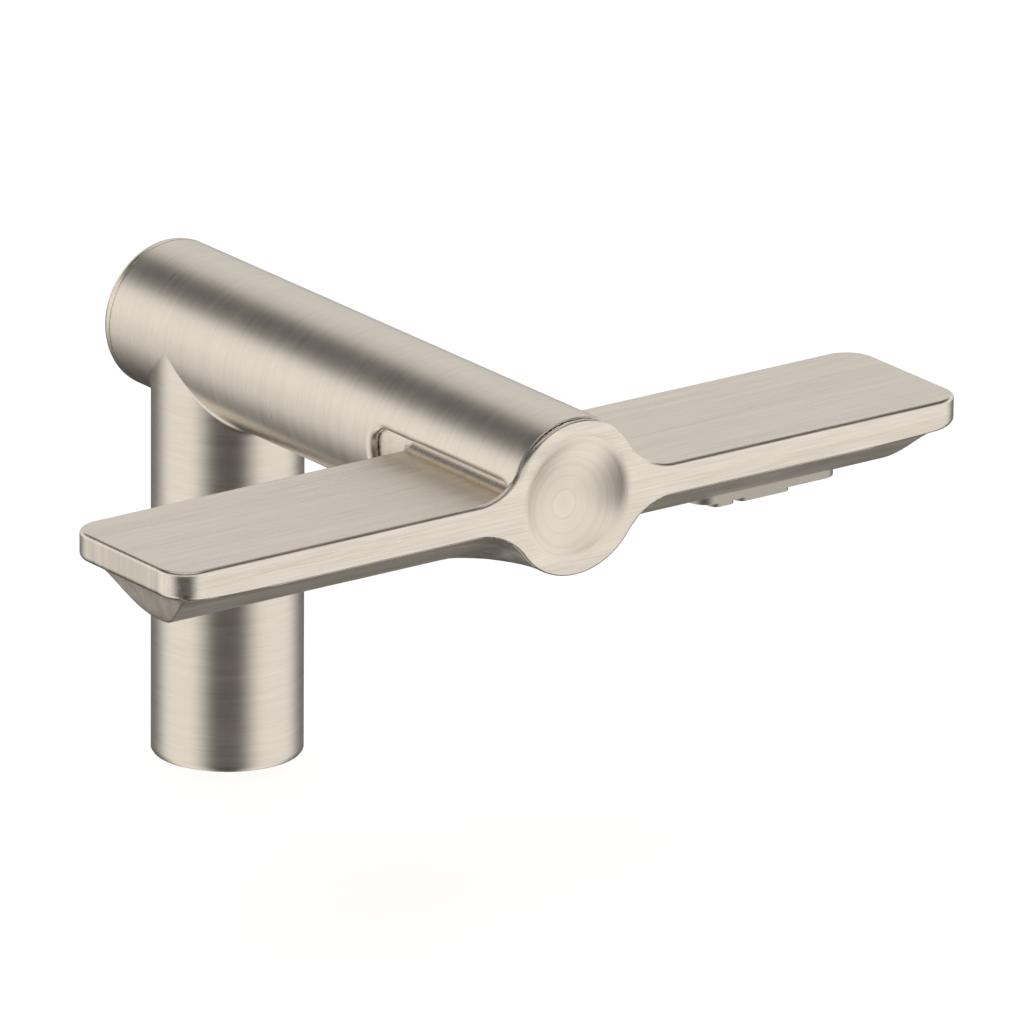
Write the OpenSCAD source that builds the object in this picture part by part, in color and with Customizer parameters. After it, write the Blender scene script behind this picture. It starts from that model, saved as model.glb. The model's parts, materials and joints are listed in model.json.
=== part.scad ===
// Touchless faucet with a hand dryer in its two wings.
// The origin is the centre of the stem's foot on the deck. +Z is up, the wings run along X,
// and the user stands at -Y, in front of the hub.

/* [Stem and barrel] */
// Outer diameter of the stem and of the barrel
tube_d = 48; // [46:0.5:54]
// Wall of both tubes
tube_wall = 2; // [1.5:0.1:2.2]
// Height of the barrel's axis above the deck
axis_z = 135; // [125:1:260]
// Reach from the stem's axis to the front face of the hub
front_reach = 184; // [175:1:240]
// Length of barrel behind the stem's axis
rear_reach = 34; // [31:0.5:50]
// Thickness of the closed rear end
cap_t = 4; // [3:0.5:6]
// Radius of the rear end's rim
cap_round = 2.4; // [1:0.1:2.8]
// Top edge of the barrel's side windows, above the barrel's axis
window_rise = 6.5; // [5.5:0.5:9]
// Room between the wing's back edge and the window's end
window_gap = 16; // [6:0.5:20]
// Corner radius of the windows
window_r = 4.5; // [2:0.5:5]

/* [Wings] */
// Length over both wing tips
span = 298; // [260:2:360]
// Depth of a wing from its front face to its back face
chord = 58; // [54:1:66]
// Height of the wings' flat top above the barrel's axis
wing_top = 3; // [2:0.5:4]
// Height of the wing's edge band at mid span
band_h = 10.2; // [9:0.1:11]
// Height of the edge band at the tips
tip_band_h = 7.2; // [6:0.1:8.5]
// Distance from the tip at which the band starts to thin
band_taper_run = 46; // [25:1:70]
// Corner radius of the wing, seen from above
corner_r = 10; // [6:0.5:14]
// Rounding of the upper edges
edge_r = 1.8; // [1:0.1:2.4]
// Rounding of the band's lower edges
low_edge_r = 0.8; // [0.4:0.1:1]
// Thickness of the wing's top plate
plate_t = 2.7; // [2:0.1:3.4]
// Wall of the edge band and of the keel
wing_wall = 2.2; // [1.6:0.1:2.6]
// Depth of the keel under the band
keel_depth = 15; // [12:0.5:17]
// Length over which the keel runs out at the wing tip
keel_end_run = 19; // [14:1:28]
// Step from the band's face back to the keel
keel_step = 0.5; // [0.2:0.1:1]

/* [Hub] */
// Diameter of the hub's round front
hub_d = 49.5; // [48.5:0.5:56]
// How far the hub's centre lies below the barrel's axis
hub_drop = 1.2; // [0.6:0.1:1.4]
// Thickness of the hub's flange
flange_t = 3.5; // [3:0.5:6]
// Half width at which the hub's curves meet the wings' straight edges
neck_half = 37; // [34:0.5:44]
// Diameter of the hollow in the hub's front
dish_d = 39; // [34:0.5:42]
// Depth of the hollow in the hub's front
dish_depth = 4.5; // [3:0.5:5.5]
// Length of the hub's spigot inside the barrel
spigot_l = 5; // [4.5:0.5:8]
// Thickness of the gasket between hub and barrel
gasket_t = 0.5; // [0.3:0.1:0.8]

/* [Air] */
// Room in the tubes beside the air duct, for water and cable
service_room = 19; // [18.5:0.1:21]
// Wall of the air duct
duct_wall = 1.5; // [1:0.1:2]
// Clearance of the air duct and of its collar from the tubes' bore
duct_clear = 1; // [0.6:0.1:1.4]
// Centreline radius of the duct's bend
duct_bend = 14; // [13:0.5:16]
// Width of the plenum along the barrel
plenum_w = 16; // [12:0.5:16.5]
// Reach of the plenum to each side
plenum_reach = 30; // [27:0.5:36]
// Radius of the bore that takes the air hose
air_bore_r = 12; // [11:0.1:12.3]
// Depth of the bore that takes the air hose
air_bore_l = 8; // [6:0.5:10]
// Length of the air slot
slot_l = 46; // [36:1:60]
// Width of the air slot
slot_w = 1.2; // [0.8:0.1:2]
// Distance from the barrel's axis to the middle of each outlet
outlet_x = 91; // [80:1:100]
// Width of the outlet strips
outlet_w = 12; // [11:0.5:13]
// How far the right strip stands below the keel
strip_proud = 1; // [0.6:0.1:1.5]

/* [Water] */
// Outer diameter of the water pipe
pipe_d = 5; // [5:0.5:6]
// Wall of the water pipe
pipe_wall = 0.8; // [0.5:0.1:1]
// Clearance of the water fittings from the stem's bore
water_clear = 2; // [1.6:0.1:2.2]
// Tapping radius of the water inlet's thread
inlet_bore_r = 4.5; // [4:0.1:4.6]
// Depth of the water inlet's thread
inlet_bore_l = 12; // [9:0.5:14]
// Travel of the check valve's poppet
poppet_travel = 2; // [1:0.1:2.5]
// Travel of the solenoid valve's plunger
plunger_travel = 1.6; // [1:0.1:2.5]
// Diameter of the plunger
plunger_d = 7.1; // [6:0.1:7.1]
// Length of the plunger
plunger_l = 20; // [16:1:24]
// Diameter of the aerator's shell
aerator_d = 18; // [16:0.5:18.5]
// Distance of the aerator's axis behind the front face
aerator_back = 20; // [19.5:0.5:21]

/* [Foot] */
// Thickness of the steel ring in the stem's foot
base_t = 10; // [8:0.5:14]
// Thickness of the rubber gasket on the deck
base_gasket_t = 1; // [0.6:0.1:1.5]
// Tapping radius of the fixing holes
stud_r = 2.5; // [2:0.1:3]
// Distance of the fixing holes' axes from the stem's bore
stud_inset = 5; // [4.8:0.1:5.4]
// Diameter of the sensor cable
cable_d = 2.8; // [2:0.1:3]

/* [Clearances] */
// Radial clearance of pieces that slide
run_gap = 0.05; // [0.03:0.01:0.08]
// Clearance round pieces that are seated
seat_gap = 0.2; // [0.1:0.05:0.25]

/* [Hidden] */
$fn = 96;

metal = "#c8c3b8";
dark_plastic = "#33363a";
pale_plastic = "#8d9296";
rubber = "#1d1e20";
brass = "#b39a5a";
copper = "#a8683c";
board_green = "#2f6b46";

tube_r = tube_d / 2;
bore_r = tube_r - tube_wall;
hub_r = hub_d / 2;
front_y = -front_reach;
back_y = front_y + chord;
mid_y = front_y + chord / 2;
barrel_front_y = front_y + flange_t + gasket_t;
barrel_back_y = rear_reach - cap_t;
half_span = span / 2;
band_low = wing_top - band_h;
tip_low = wing_top - tip_band_h;
keel_low = band_low - keel_depth;
ceiling = wing_top - plate_t;
half_chord = chord / 2;
cut = 1;

duct_r = bore_r - service_room / 2;
collar_wall = 1.3;
collar_r = duct_r + collar_wall;
duct_y = bore_r - collar_r - duct_clear;
duct_rise = bore_r - duct_r - 3 * duct_clear;
fitting_r = 6.2;
water_y = bore_r - fitting_r - water_clear;
plenum_low = band_low - 2.6;
plenum_back = back_y - 10;
plenum_top = ceiling - 0.5;
window_low = plenum_low - 1.2;
manifold_back = back_y + 14;
window_back = back_y + window_gap;
pipe_r = pipe_d / 2;
pipe_x = -(aerator_d / 2 + seat_gap + pipe_r);
pipe_stem_y = -10;
pipe_drop = 9.4 - bore_r;
pipe_bend = 9;
cable_inset = 3.9;
cable_y = 0.2 - water_y;
cable_x = sqrt((bore_r - cable_inset) * (bore_r - cable_inset) - cable_y * cable_y);
cable_drop = 8 - bore_r;
cable_r = cable_d / 2;
aerator_y = front_y + aerator_back;

// Heights of the water line in the stem, from the foot up
foot_top = base_gasket_t + base_t;
fitting_low = 0.5;
filter_t = 1;
throat_l = 2;
filter_z = fitting_low + inlet_bore_l;
seat_z = filter_z + filter_t + throat_l;
poppet_head_t = 1.5;
check_turns = 5;
check_wire_r = 0.3;
check_spring_l = poppet_travel + check_turns * 2 * check_wire_r + 0.4;
guide_z = seat_z + poppet_head_t + check_spring_l;
guide_t = 1.8;
fitting_top = guide_z + guide_t + poppet_travel + 1;
nozzle_z = fitting_top + 9.5;
seal_t = 1.6;
plunger_z = nozzle_z + seal_t;
chamber_top = nozzle_z + 8.5;
coil_z = chamber_top + 2;
valve_turns = 6;
valve_wire_r = 0.35;
valve_spring_l = plunger_travel + valve_turns * 2 * valve_wire_r + 1.2;
guide_in_top = plunger_z + plunger_l + valve_spring_l;
guide_out_top = guide_in_top + 2;
coil_top = guide_out_top - 2;

// Height of the stem's spacer above the solenoid valve
spacer_lift = 12;
spacer_z = guide_out_top + spacer_lift;

// The two grub screws that hold the hub's spigot
grub_r = 2;
grub_x = 6;

// Outlet strips and the hand sensors' pods, placed from the strip's middle
outlet_l = slot_l + 8;
flange_lip = 1.5;
slot_y = 3.2;
pod_y = -2.6;
pod_w = 5.6;
pod_drop = 1.5;
pod_lengths = [9, 20];
pod_places = [-17, -1.5];
pod_lens_r = 1.9;
lip_z = keel_low + wing_wall + 0.9;
lip_t = 1.2;
board_z = lip_z + lip_t + 0.4;
board_l = 34;
board_w = 7.2;
board_t = 1.6;
board_start = outlet_x + pod_places[0] - 7;
board_hole_r = 0.8;
board_hole_inset = 2.5;

// Water outlet under the barrel
lens_r = 3.6;
washer_z = -14;
washer_t = 1.2;
block_low = washer_z + washer_t;
shell_in_r = aerator_d / 2 - 1.2;
aerator_face = -sqrt(tube_r * tube_r - aerator_d * aerator_d / 4);
screen_h = 4.5;
lug_wall = 1.6;
lug_r = pipe_r + lug_wall;
block_lug_front = aerator_y - 4;
block_lug_back = aerator_y + 8;
block_bore_r = aerator_d / 2 - 3;
block_bore_l = 5;
block_way_r = 1.6;

// Air manifold and the spacers that carry duct, pipe and cable
manifold_half = duct_r;
manifold_wall = 1.3;
socket_l = 7;
spacer_t = 3;
spacer_places = [0.3, 0.72];

// The foot and what passes through it
duct_foot = fitting_low + air_bore_l + 1;
grommet_r = 2.6;
stud_y = -6;
stud_gap = 2 * sqrt((bore_r - stud_inset) * (bore_r - stud_inset) - stud_y * stud_y);

// The check valve and the solenoid valve
filter_r = inlet_bore_r - 0.5;
throat_r = 3;
chamber_r = 5.2;
poppet_stem_r = 1.5;
body_r = 7.2;
valve_chamber_r = 5;
nozzle_r = 1.6;
passage_r = 1.8;
arm_w = 4 * passage_r;
arm_low = 2.5;
socket_low = chamber_top - 4.5;
arm_a = atan2(water_y + pipe_stem_y, pipe_x);
arm_l = norm([pipe_x, water_y + pipe_stem_y]);
plunger_r = plunger_d / 2;
guide_r = plunger_r + run_gap + 0.7;
coil_r = 7.3;
yoke_t = 1.5;
seal_r = 2.9;
seal_sunk = 1;

// A rod along Y at (x, z)
module rod_y(x, z, r, y0, y1) {
    translate([x, y1, z])
        rotate([90, 0, 0])
            cylinder(r = r, h = y1 - y0);
}

// A 2D shape drawn in (y, z), extruded along X
module along_x(x0, x1) {
    translate([x0, 0, 0])
        rotate([90, 0, 90])
            linear_extrude(x1 - x0)
                children();
}

// A 2D shape drawn in (x, z), extruded along Y
module along_y(y0, y1) {
    translate([0, y1, 0])
        rotate([90, 0, 0])
            linear_extrude(y1 - y0)
                children();
}

// A rectangle with round corners, from its low corner
module round_rect(low, size, r) {
    for (i = [0, 1], j = [0, 1])
        translate([low.x + r + i * (size.x - 2 * r), low.y + r + j * (size.y - 2 * r)])
            circle(r);
    translate([low.x + r, low.y])
        square([size.x - 2 * r, size.y]);
    translate([low.x, low.y + r])
        square([size.x, size.y - 2 * r]);
}

// A quarter bend in the Y-Z plane, from straight up at y0 to straight forward
module bend(x, y0, z0, radius, r) {
    translate([x, y0 - radius, z0])
        rotate([90, 0, 90])
            rotate_extrude(angle = 90)
                translate([radius, 0])
                    circle(r);
}

// A ring of round section
module oring(ring_r, wire_r) {
    rotate_extrude()
        translate([ring_r, 0])
            circle(wire_r);
}

// Rings of round holes about the middle
module hole_rings(rings, pitch, r, h) {
    for (i = [0:rings])
        for (j = [0:max(0, 6 * i - 1)])
            rotate([0, 0, i == 0 ? 0 : 60 * j / i])
                translate([i * pitch, 0, 0])
                    cylinder(r = r, h = h);
}

// Raised to the barrel's axis
module head() {
    translate([0, 0, axis_z])
        children();
}

// A wire coil standing on z0: one unbroken tube with flat-lying end turns
module coil_spring(coil_r, wire_r, length, turns) {
    steps = 12;
    sides = 6;
    last = turns * steps;
    rise = length - 2 * wire_r;
    centre = function (i) let (a = 360 * i / steps)
        [coil_r * cos(a), coil_r * sin(a), wire_r + rise * i / last];
    points = [for (i = [0:last], k = [0:sides - 1])
        let (a = 360 * i / steps, b = 360 * k / sides, c = centre(i))
            [c.x + wire_r * cos(b) * cos(a), c.y + wire_r * cos(b) * sin(a), c.z + wire_r * sin(b)]];
    walls = [for (i = [0:last - 1], k = [0:sides - 1])
        let (a = i * sides + k, b = i * sides + (k + 1) % sides)
            each [[a, a + sides, b + sides], [a, b + sides, b]]];
    start = [for (k = [1:sides - 2]) [0, k, k + 1]];
    end = [for (k = [1:sides - 2]) [last * sides, last * sides + k + 1, last * sides + k]];
    polyhedron(points = points, faces = concat(start, walls, end));
}

// The ogee of the keel: 0 at the edge, 1 at the lowest line
function ogee(t) = 0.35 * sin(90 * t) + 0.325 * (1 - cos(180 * t));

// The parting line between band and keel, as a height at x
function parting(x) =
    let (u = max(0, (abs(x) - half_span + band_taper_run) / band_taper_run))
        band_low + (tip_low - band_low) * u * u;

// Section of the keel across the wing, as (y, z) points, inset from the band by step
function keel_section(step, depth, top) =
    let (n = 14, run = half_chord - step)
        concat([[front_y + step, top]],
            [for (i = [0:n]) [front_y + step + run * i / n, band_low - depth * ogee(i / n)]],
            [for (i = [n - 1:-1:0]) [back_y - step - run * i / n, band_low - depth * ogee(i / n)]],
            [[back_y - step, top]]);

// Outline of the keel along the wing, as (x, z) points
function keel_length(step, depth, top) =
    let (n = 12, tip = half_span - step, fall = depth + tip_low - band_low)
        concat([[-tip, top]],
            [for (i = [0:n]) [-tip + keel_end_run * i / n, tip_low - fall * ogee(i / n)]],
            [for (i = [n:-1:0]) [tip - keel_end_run * i / n, tip_low - fall * ogee(i / n)]],
            [[tip, top]]);

// The wing seen from above, inset by step
module wing_plan(step) {
    round_rect([-half_span + step, front_y + step], [span - 2 * step, chord - 2 * step],
        max(0.5, corner_r - step));
}

// Everything above the parting line, down to it plus gap
module above_parting(gap = 0) {
    n = 24;
    along_y(front_y - cut, back_y + cut)
        polygon(concat(
            [for (i = [0:n]) let (x = -half_span - cut + (span + 2 * cut) * i / n) [x, parting(x) + gap]],
            [[half_span + cut, wing_top + 20], [-half_span - cut, wing_top + 20]]));
}

// The wings' upper plate with its edge band, as a solid
module wing_block() {
    intersection() {
        translate([0, 0, band_low])
            linear_extrude(band_h)
                wing_plan(0);
        along_x(-half_span, half_span)
            intersection() {
                round_rect([front_y, band_low - band_h], [chord, 2 * band_h], edge_r);
                round_rect([front_y, band_low], [chord, 2 * band_h], low_edge_r);
            }
        along_y(front_y - cut, back_y + cut)
            round_rect([-half_span, band_low - band_h], [span, 2 * band_h], edge_r);
        above_parting();
    }
}

// The keel of both wings as a solid, below the parting line
module keel_block(step, depth) {
    difference() {
        intersection() {
            along_x(-half_span, half_span)
                polygon(keel_section(step, depth, wing_top));
            along_y(front_y, back_y)
                polygon(keel_length(step, depth, wing_top));
            translate([0, 0, keel_low - cut])
                linear_extrude(keel_depth + band_h + 2 * cut)
                    wing_plan(step);
        }
        above_parting();
    }
}

// Radius of the curve that carries the hub's circle into a straight edge at height line
function neck_r(line) = (neck_half * neck_half + line * line - hub_r * hub_r) / (2 * (hub_r - line));

// One quarter of the hub's outline, from the straight edge up to the hub's crown, grown by gap
function quarter(line, gap) =
    let (n = 14, radius = neck_r(line), centre = [neck_half, line + radius],
        meet = atan2(centre.y, centre.x))
        concat([for (i = [0:n]) centre + (radius - gap) * [cos(270 - i * (90 - meet) / n),
                sin(270 - i * (90 - meet) / n)]],
            [for (i = [1:n]) let (a = meet + i * (90 - meet) / n) (hub_r + gap) * [cos(a), sin(a)]]);

// The hub's front outline with the necks that carry it into the wings
module hub_outline(gap = 0) {
    top = quarter(wing_top + hub_drop, gap);
    low = quarter(-band_low - hub_drop, gap);
    last = len(top) - 1;
    translate([0, -hub_drop])
        polygon(concat(
            top,
            [for (i = [last - 1:-1:0]) [-top[i].x, top[i].y]],
            [for (p = low) [-p.x, -p.y]],
            [for (i = [last - 1:-1:0]) [low[i].x, -low[i].y]]));
}

module stem_tube() {
    color(metal)
        difference() {
            cylinder(r = tube_r, h = axis_z);
            translate([0, 0, -cut])
                cylinder(r = bore_r, h = axis_z + 2 * cut);
            head()
                rod_y(0, 0, tube_r + seat_gap / 2, -tube_d, tube_d);
        }
}

// The slot through both sides of the barrel that takes the wings, open to the front
module window() {
    along_x(-tube_d, tube_d)
        union() {
            round_rect([front_y - cut, window_low],
                [chord + window_gap + cut, window_rise - window_low], window_r);
            translate([front_y - cut, window_low])
                square([chord / 2, window_rise - window_low]);
        }
}

module barrel_tube() {
    color(metal)
        head()
            difference() {
                rod_y(0, 0, tube_r, barrel_front_y, barrel_back_y);
                rod_y(0, 0, bore_r, barrel_front_y - cut, barrel_back_y + cut);
                window();
                translate([0, 0, -tube_d])
                    cylinder(r = bore_r - 0.6, h = tube_d);
                translate([0, aerator_y, -tube_d])
                    cylinder(r = aerator_d / 2 + seat_gap, h = tube_d);
                water_sensor_place(-tube_d)
                    cylinder(r = lens_r + seat_gap, h = tube_d);
                grub_places(-tube_d)
                    cylinder(r = grub_r + seat_gap, h = tube_d);
            }
}

module rear_cap() {
    skirt = 6;
    color(metal)
        head()
            translate([0, barrel_back_y, 0])
                rotate([-90, 0, 0])
                    union() {
                        rotate_extrude()
                            union() {
                                square([tube_r, cap_t - cap_round]);
                                square([tube_r - cap_round, cap_t]);
                                translate([tube_r - cap_round, cap_t - cap_round])
                                    intersection() {
                                        circle(cap_round);
                                        square(cap_round);
                                    }
                            }
                        translate([0, 0, -skirt])
                            difference() {
                                cylinder(r = bore_r - seat_gap, h = skirt);
                                translate([0, 0, -cut])
                                    cylinder(r = bore_r - tube_wall, h = skirt + cut);
                            }
                    }
}

// Places of the two grub screws that hold the hub's spigot
module grub_places(z) {
    for (side = [-1, 1])
        translate([side * grub_x, front_y + flange_t + spigot_l / 2, z])
            children();
}

// Walls of the casting that close the barrel's windows from inside
module window_walls() {
    lap = 2.5;
    low_lap = 1;
    end_y = window_back + lap;
    difference() {
        rod_y(0, 0, bore_r - seat_gap, front_y + flange_t, end_y);
        rod_y(0, 0, bore_r - seat_gap - wing_wall, front_y, end_y + cut);
        translate([-tube_d, front_y - cut, window_rise + lap])
            cube([2 * tube_d, end_y - front_y + 2 * cut, tube_d]);
        translate([-tube_d, front_y - cut, ceiling + plate_t / 2 - 2 * tube_d])
            cube([2 * tube_d, chord - wing_wall, 2 * tube_d]);
        translate([-tube_d, back_y - wing_wall - 2 * cut, window_low - low_lap - tube_d])
            cube([2 * tube_d, end_y - back_y + tube_d, tube_d]);
    }
}

module front_casting() {
    color(metal)
        head()
            difference() {
                union() {
                    wing_block();
                    along_y(front_y, front_y + flange_t)
                        hub_outline();
                    rod_y(0, 0, bore_r - seat_gap, front_y + flange_t - cut,
                        front_y + flange_t + spigot_l);
                    window_walls();
                }
                casting_cavity();
                dish_ball();
                plenum_passage();
                grub_places(-tube_d)
                    cylinder(r = grub_r + run_gap, h = tube_d - 8);
            }
}

// The ball that hollows the hub's front
module dish_ball() {
    ball_r = (dish_d * dish_d / 4 + dish_depth * dish_depth) / (2 * dish_depth);
    translate([0, front_y + dish_depth - ball_r, -hub_drop])
        sphere(r = ball_r, $fn = 160);
}

// The air space under the casting's top plate
module casting_cavity() {
    wall_y = front_y + flange_t + spigot_l + wing_wall;
    hub_half = neck_half - 4;
    for (side = [-1, 1])
        translate([side > 0 ? hub_half : -half_span + wing_wall + edge_r, front_y + wing_wall + 0.8,
            keel_low])
            cube([half_span - wing_wall - edge_r - hub_half, chord - 2 * wing_wall - 1.6,
                ceiling - keel_low]);
    translate([-hub_half - cut, wall_y, keel_low])
        cube([2 * hub_half + 2 * cut, back_y - wing_wall - 0.8 - wall_y, ceiling - keel_low]);
}

// The way through the casting's back wall for the manifold's neck
module plenum_passage() {
    translate([-manifold_half - seat_gap, plenum_back, keel_low])
        cube([2 * (manifold_half + seat_gap), back_y - plenum_back + cut, ceiling - keel_low]);
}

module hub_gasket() {
    color(rubber)
        head()
            difference() {
                rod_y(0, 0, tube_r - 0.5, front_y + flange_t, front_y + flange_t + gasket_t);
                rod_y(0, 0, bore_r, front_y, front_y + chord);
                window();
            }
}

module head_grub_screws() {
    length = 6;
    color(metal)
        head()
            grub_places(-sqrt(tube_r * tube_r - grub_x * grub_x) + seat_gap)
                difference() {
                    cylinder(r = grub_r, h = length);
                    translate([0, 0, -cut])
                        cylinder(r = 1.15, h = 2.5 + cut, $fn = 6);
                }
}

// One side's keel shell: side is -1 on the left and 1 on the right
module keel(side) {
    head()
        intersection() {
            difference() {
                keel_block(keel_step, keel_depth);
                keel_hollow();
                rod_y(0, 0, tube_r + seat_gap, front_y - cut, back_y + cut);
                along_y(front_y - cut, front_y + flange_t + seat_gap)
                    hub_outline(seat_gap);
                outlet_hole(side);
            }
            translate([side > 0 ? 0 : -half_span - cut, front_y - cut, keel_low - cut])
                cube([half_span + cut, chord + 2 * cut, keel_depth + band_h]);
        }
}

// The air space in the keel
module keel_hollow() {
    step = wing_wall + 0.8;
    intersection() {
        along_x(-half_span + keel_end_run, half_span - keel_end_run)
            polygon(keel_section(step, keel_depth - wing_wall, wing_top));
        translate([0, 0, keel_low - cut])
            linear_extrude(keel_depth + band_h)
                wing_plan(step);
    }
}

module left_keel() {
    color(metal)
        keel(-1);
}

module right_keel() {
    color(metal)
        keel(1);
}

// The hole in a keel's bottom that takes its outlet strip
module outlet_hole(side) {
    for (seat = [[0, keel_low - cut], [flange_lip, lip_z]])
        translate([side * outlet_x, mid_y, seat[1]])
            strip(outlet_l + 2 * (seat[0] + seat_gap), outlet_w + 2 * (seat[0] + seat_gap),
                keel_depth);
}

// A strip with half-round ends, centred on its middle
module strip(length, width, height) {
    linear_extrude(height)
        round_rect([-length / 2, -width / 2], [length, width], width / 2 - 0.01);
}

// An outlet strip whose face lies proud of the keel's lowest line
module outlet(side, proud) {
    face = keel_low - proud;
    translate([side * outlet_x, mid_y, 0])
        difference() {
            union() {
                translate([0, 0, face])
                    strip(outlet_l, outlet_w, lip_z - face);
                translate([0, 0, lip_z])
                    strip(outlet_l + 2 * flange_lip, outlet_w + 2 * flange_lip, lip_t);
            }
            translate([-slot_l / 2, slot_y - slot_w / 2, face - cut])
                cube([slot_l, slot_w, keel_depth]);
            translate([-slot_l / 2, slot_y - 1.5 * slot_w, lip_z - lip_t])
                cube([slot_l, 3 * slot_w, keel_depth]);
        }
}

module left_air_outlet() {
    color(dark_plastic)
        head()
            outlet(-1, -0.4);
}

module right_air_outlet() {
    color(metal)
        head()
            difference() {
                outlet(1, strip_proud);
                pod_sockets(pod_lens_r + seat_gap, keel_depth);
            }
}

// Round sockets through the right strip for the hand sensors
module pod_sockets(r, h) {
    for (i = [0, 1])
        translate([outlet_x + pod_places[i], mid_y + pod_y, keel_low - strip_proud - cut])
            cylinder(r = r, h = h);
}

module hand_sensor_bezels() {
    color(metal)
        head()
            difference() {
                for (i = [0, 1])
                    translate([outlet_x + pod_places[i], mid_y + pod_y,
                        keel_low - strip_proud - pod_drop])
                        strip(pod_lengths[i], pod_w, pod_drop);
                translate([0, 0, -pod_drop])
                    pod_sockets(pod_lens_r + seat_gap, pod_drop + 2 * cut);
            }
}

module hand_sensor_lenses() {
    face = keel_low - strip_proud - pod_drop + 0.3;
    color("#17181c")
        head()
            for (i = [0, 1])
                translate([outlet_x + pod_places[i], mid_y + pod_y, face])
                    cylinder(r = pod_lens_r, h = board_z - face);
}

module hand_sensor_board() {
    color(board_green)
        head()
            translate([board_start, mid_y + pod_y - board_w / 2, board_z])
                difference() {
                    cube([board_l, board_w, board_t]);
                    for (x = [board_hole_inset, board_l - board_hole_inset])
                        translate([x, board_hole_inset, -cut])
                            cylinder(r = board_hole_r, h = board_t + 2 * cut);
                }
}

// Raised on the water sensor's axis, behind the aerator
module water_sensor_place(z) {
    translate([0, aerator_y + aerator_d / 2 + lens_r + 4.5, z])
        children();
}

module water_sensor_lens() {
    color("#17181c")
        head()
            water_sensor_place(0.3 - tube_r)
                union() {
                    cylinder(r = lens_r, h = tube_wall + 1.5);
                    translate([0, 0, tube_wall + 0.5])
                        cylinder(r = lens_r + 1.2, h = 1.2);
                }
}

module water_sensor_board() {
    color(board_green)
        head()
            water_sensor_place(0.3 - tube_r + tube_wall + 1.7)
                translate([-6.5, -5, 0])
                    difference() {
                        cube([13, 10, 1.6]);
                        for (x = [1.6, 11.4])
                            translate([x, 1.6, -cut])
                                cylinder(r = 0.7, h = 4);
                    }
}

module aerator_shell() {
    color(metal)
        head()
            translate([0, aerator_y, aerator_face])
                difference() {
                    cylinder(r = aerator_d / 2, h = washer_z - aerator_face);
                    translate([0, 0, -cut])
                        cylinder(r = shell_in_r, h = screen_h + 0.6 + cut);
                    cylinder(r = shell_in_r - 1.2, h = tube_r);
                }
}

module aerator_screen() {
    color(pale_plastic)
        head()
            translate([0, aerator_y, aerator_face + 0.6])
                difference() {
                    cylinder(r = shell_in_r - seat_gap / 2, h = screen_h);
                    translate([0, 0, -cut])
                        hole_rings(3, 1.9, 0.6, 8);
                }
}

module aerator_washer() {
    color(rubber)
        head()
            translate([0, aerator_y, washer_z])
                difference() {
                    cylinder(r = aerator_d / 2, h = washer_t);
                    translate([0, 0, -cut])
                        cylinder(r = aerator_d / 2 - 2.6, h = 4);
                }
}

module outlet_block() {
    top = ceiling - 1.3;
    color(brass)
        head()
            difference() {
                union() {
                    translate([0, aerator_y, block_low])
                        cylinder(r = aerator_d / 2, h = top - block_low);
                    rod_y(pipe_x, pipe_drop, lug_r, block_lug_front, block_lug_back);
                }
                translate([0, aerator_y, -tube_d])
                    cylinder(r = aerator_d / 2 + seat_gap, h = tube_d + washer_z + washer_t);
                translate([0, aerator_y, block_low - cut])
                    cylinder(r = block_bore_r, h = block_bore_l + cut);
                rod_y(pipe_x, pipe_drop, pipe_r + run_gap, aerator_y + 1, block_lug_back + cut);
                rod_y(pipe_x, pipe_drop, pipe_r + 0.9, block_lug_back - 1, block_lug_back + cut);
                translate([pipe_x, aerator_y, block_low + block_bore_l / 2])
                    rotate([0, 90, 0])
                        cylinder(r = block_way_r, h = -pipe_x);
                rod_y(pipe_x, pipe_drop, passage_r, aerator_y - 1, aerator_y + 4);
            }
}

// The water pipe's solid run at radius r, longer at both ends by extra
module pipe_run(r, extra) {
    bend_z = axis_z + pipe_drop - pipe_bend;
    y_start = pipe_stem_y - pipe_bend;
    translate([pipe_x, pipe_stem_y, socket_low + 0.2 - extra])
        cylinder(r = r, h = bend_z - socket_low - 0.2 + extra);
    bend(pipe_x, pipe_stem_y, bend_z, pipe_bend, r);
    head()
        rod_y(pipe_x, pipe_drop, r, aerator_y + 1.2 - extra, y_start);
}

module water_pipe() {
    color(copper)
        difference() {
            pipe_run(pipe_r, 0);
            pipe_run(pipe_r - pipe_wall, cut);
        }
}

module pipe_orings() {
    wire = 0.42;
    color(rubber)
        union() {
            translate([pipe_x, pipe_stem_y, chamber_top - 0.5])
                oring(pipe_r + 0.46, wire);
            head()
                translate([pipe_x, block_lug_back - 0.5, pipe_drop])
                    rotate([90, 0, 0])
                        oring(pipe_r + 0.46, wire);
        }
}

// The air duct's solid run at radius r, longer at both ends by extra
module duct_run(r, extra) {
    bend_z = axis_z + duct_rise - duct_bend;
    translate([0, duct_y, duct_foot + 0.2 - extra])
        cylinder(r = r, h = bend_z - duct_foot - 0.2 + extra);
    bend(0, duct_y, bend_z, duct_bend, r);
    head()
        rod_y(0, duct_rise, r, manifold_back + 0.4 - extra, duct_y - duct_bend);
}

module air_duct() {
    color(pale_plastic)
        difference() {
            duct_run(duct_r, 0);
            duct_run(duct_r - duct_wall, cut);
        }
}

// The manifold's neck, from the round duct down to the plenum, grown by grow
module manifold_neck(grow) {
    flat_y = back_y + 1.2;
    hull() {
        translate([-manifold_half + manifold_wall - grow, flat_y - 0.01,
            plenum_low + manifold_wall - grow])
            cube([2 * (manifold_half - manifold_wall + grow), 0.01,
                plenum_top - plenum_low - 2 * manifold_wall + 2 * grow]);
        rod_y(0, duct_rise, duct_r - duct_wall + grow, manifold_back - 0.01, manifold_back,
            $fn = 48);
    }
}

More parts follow.
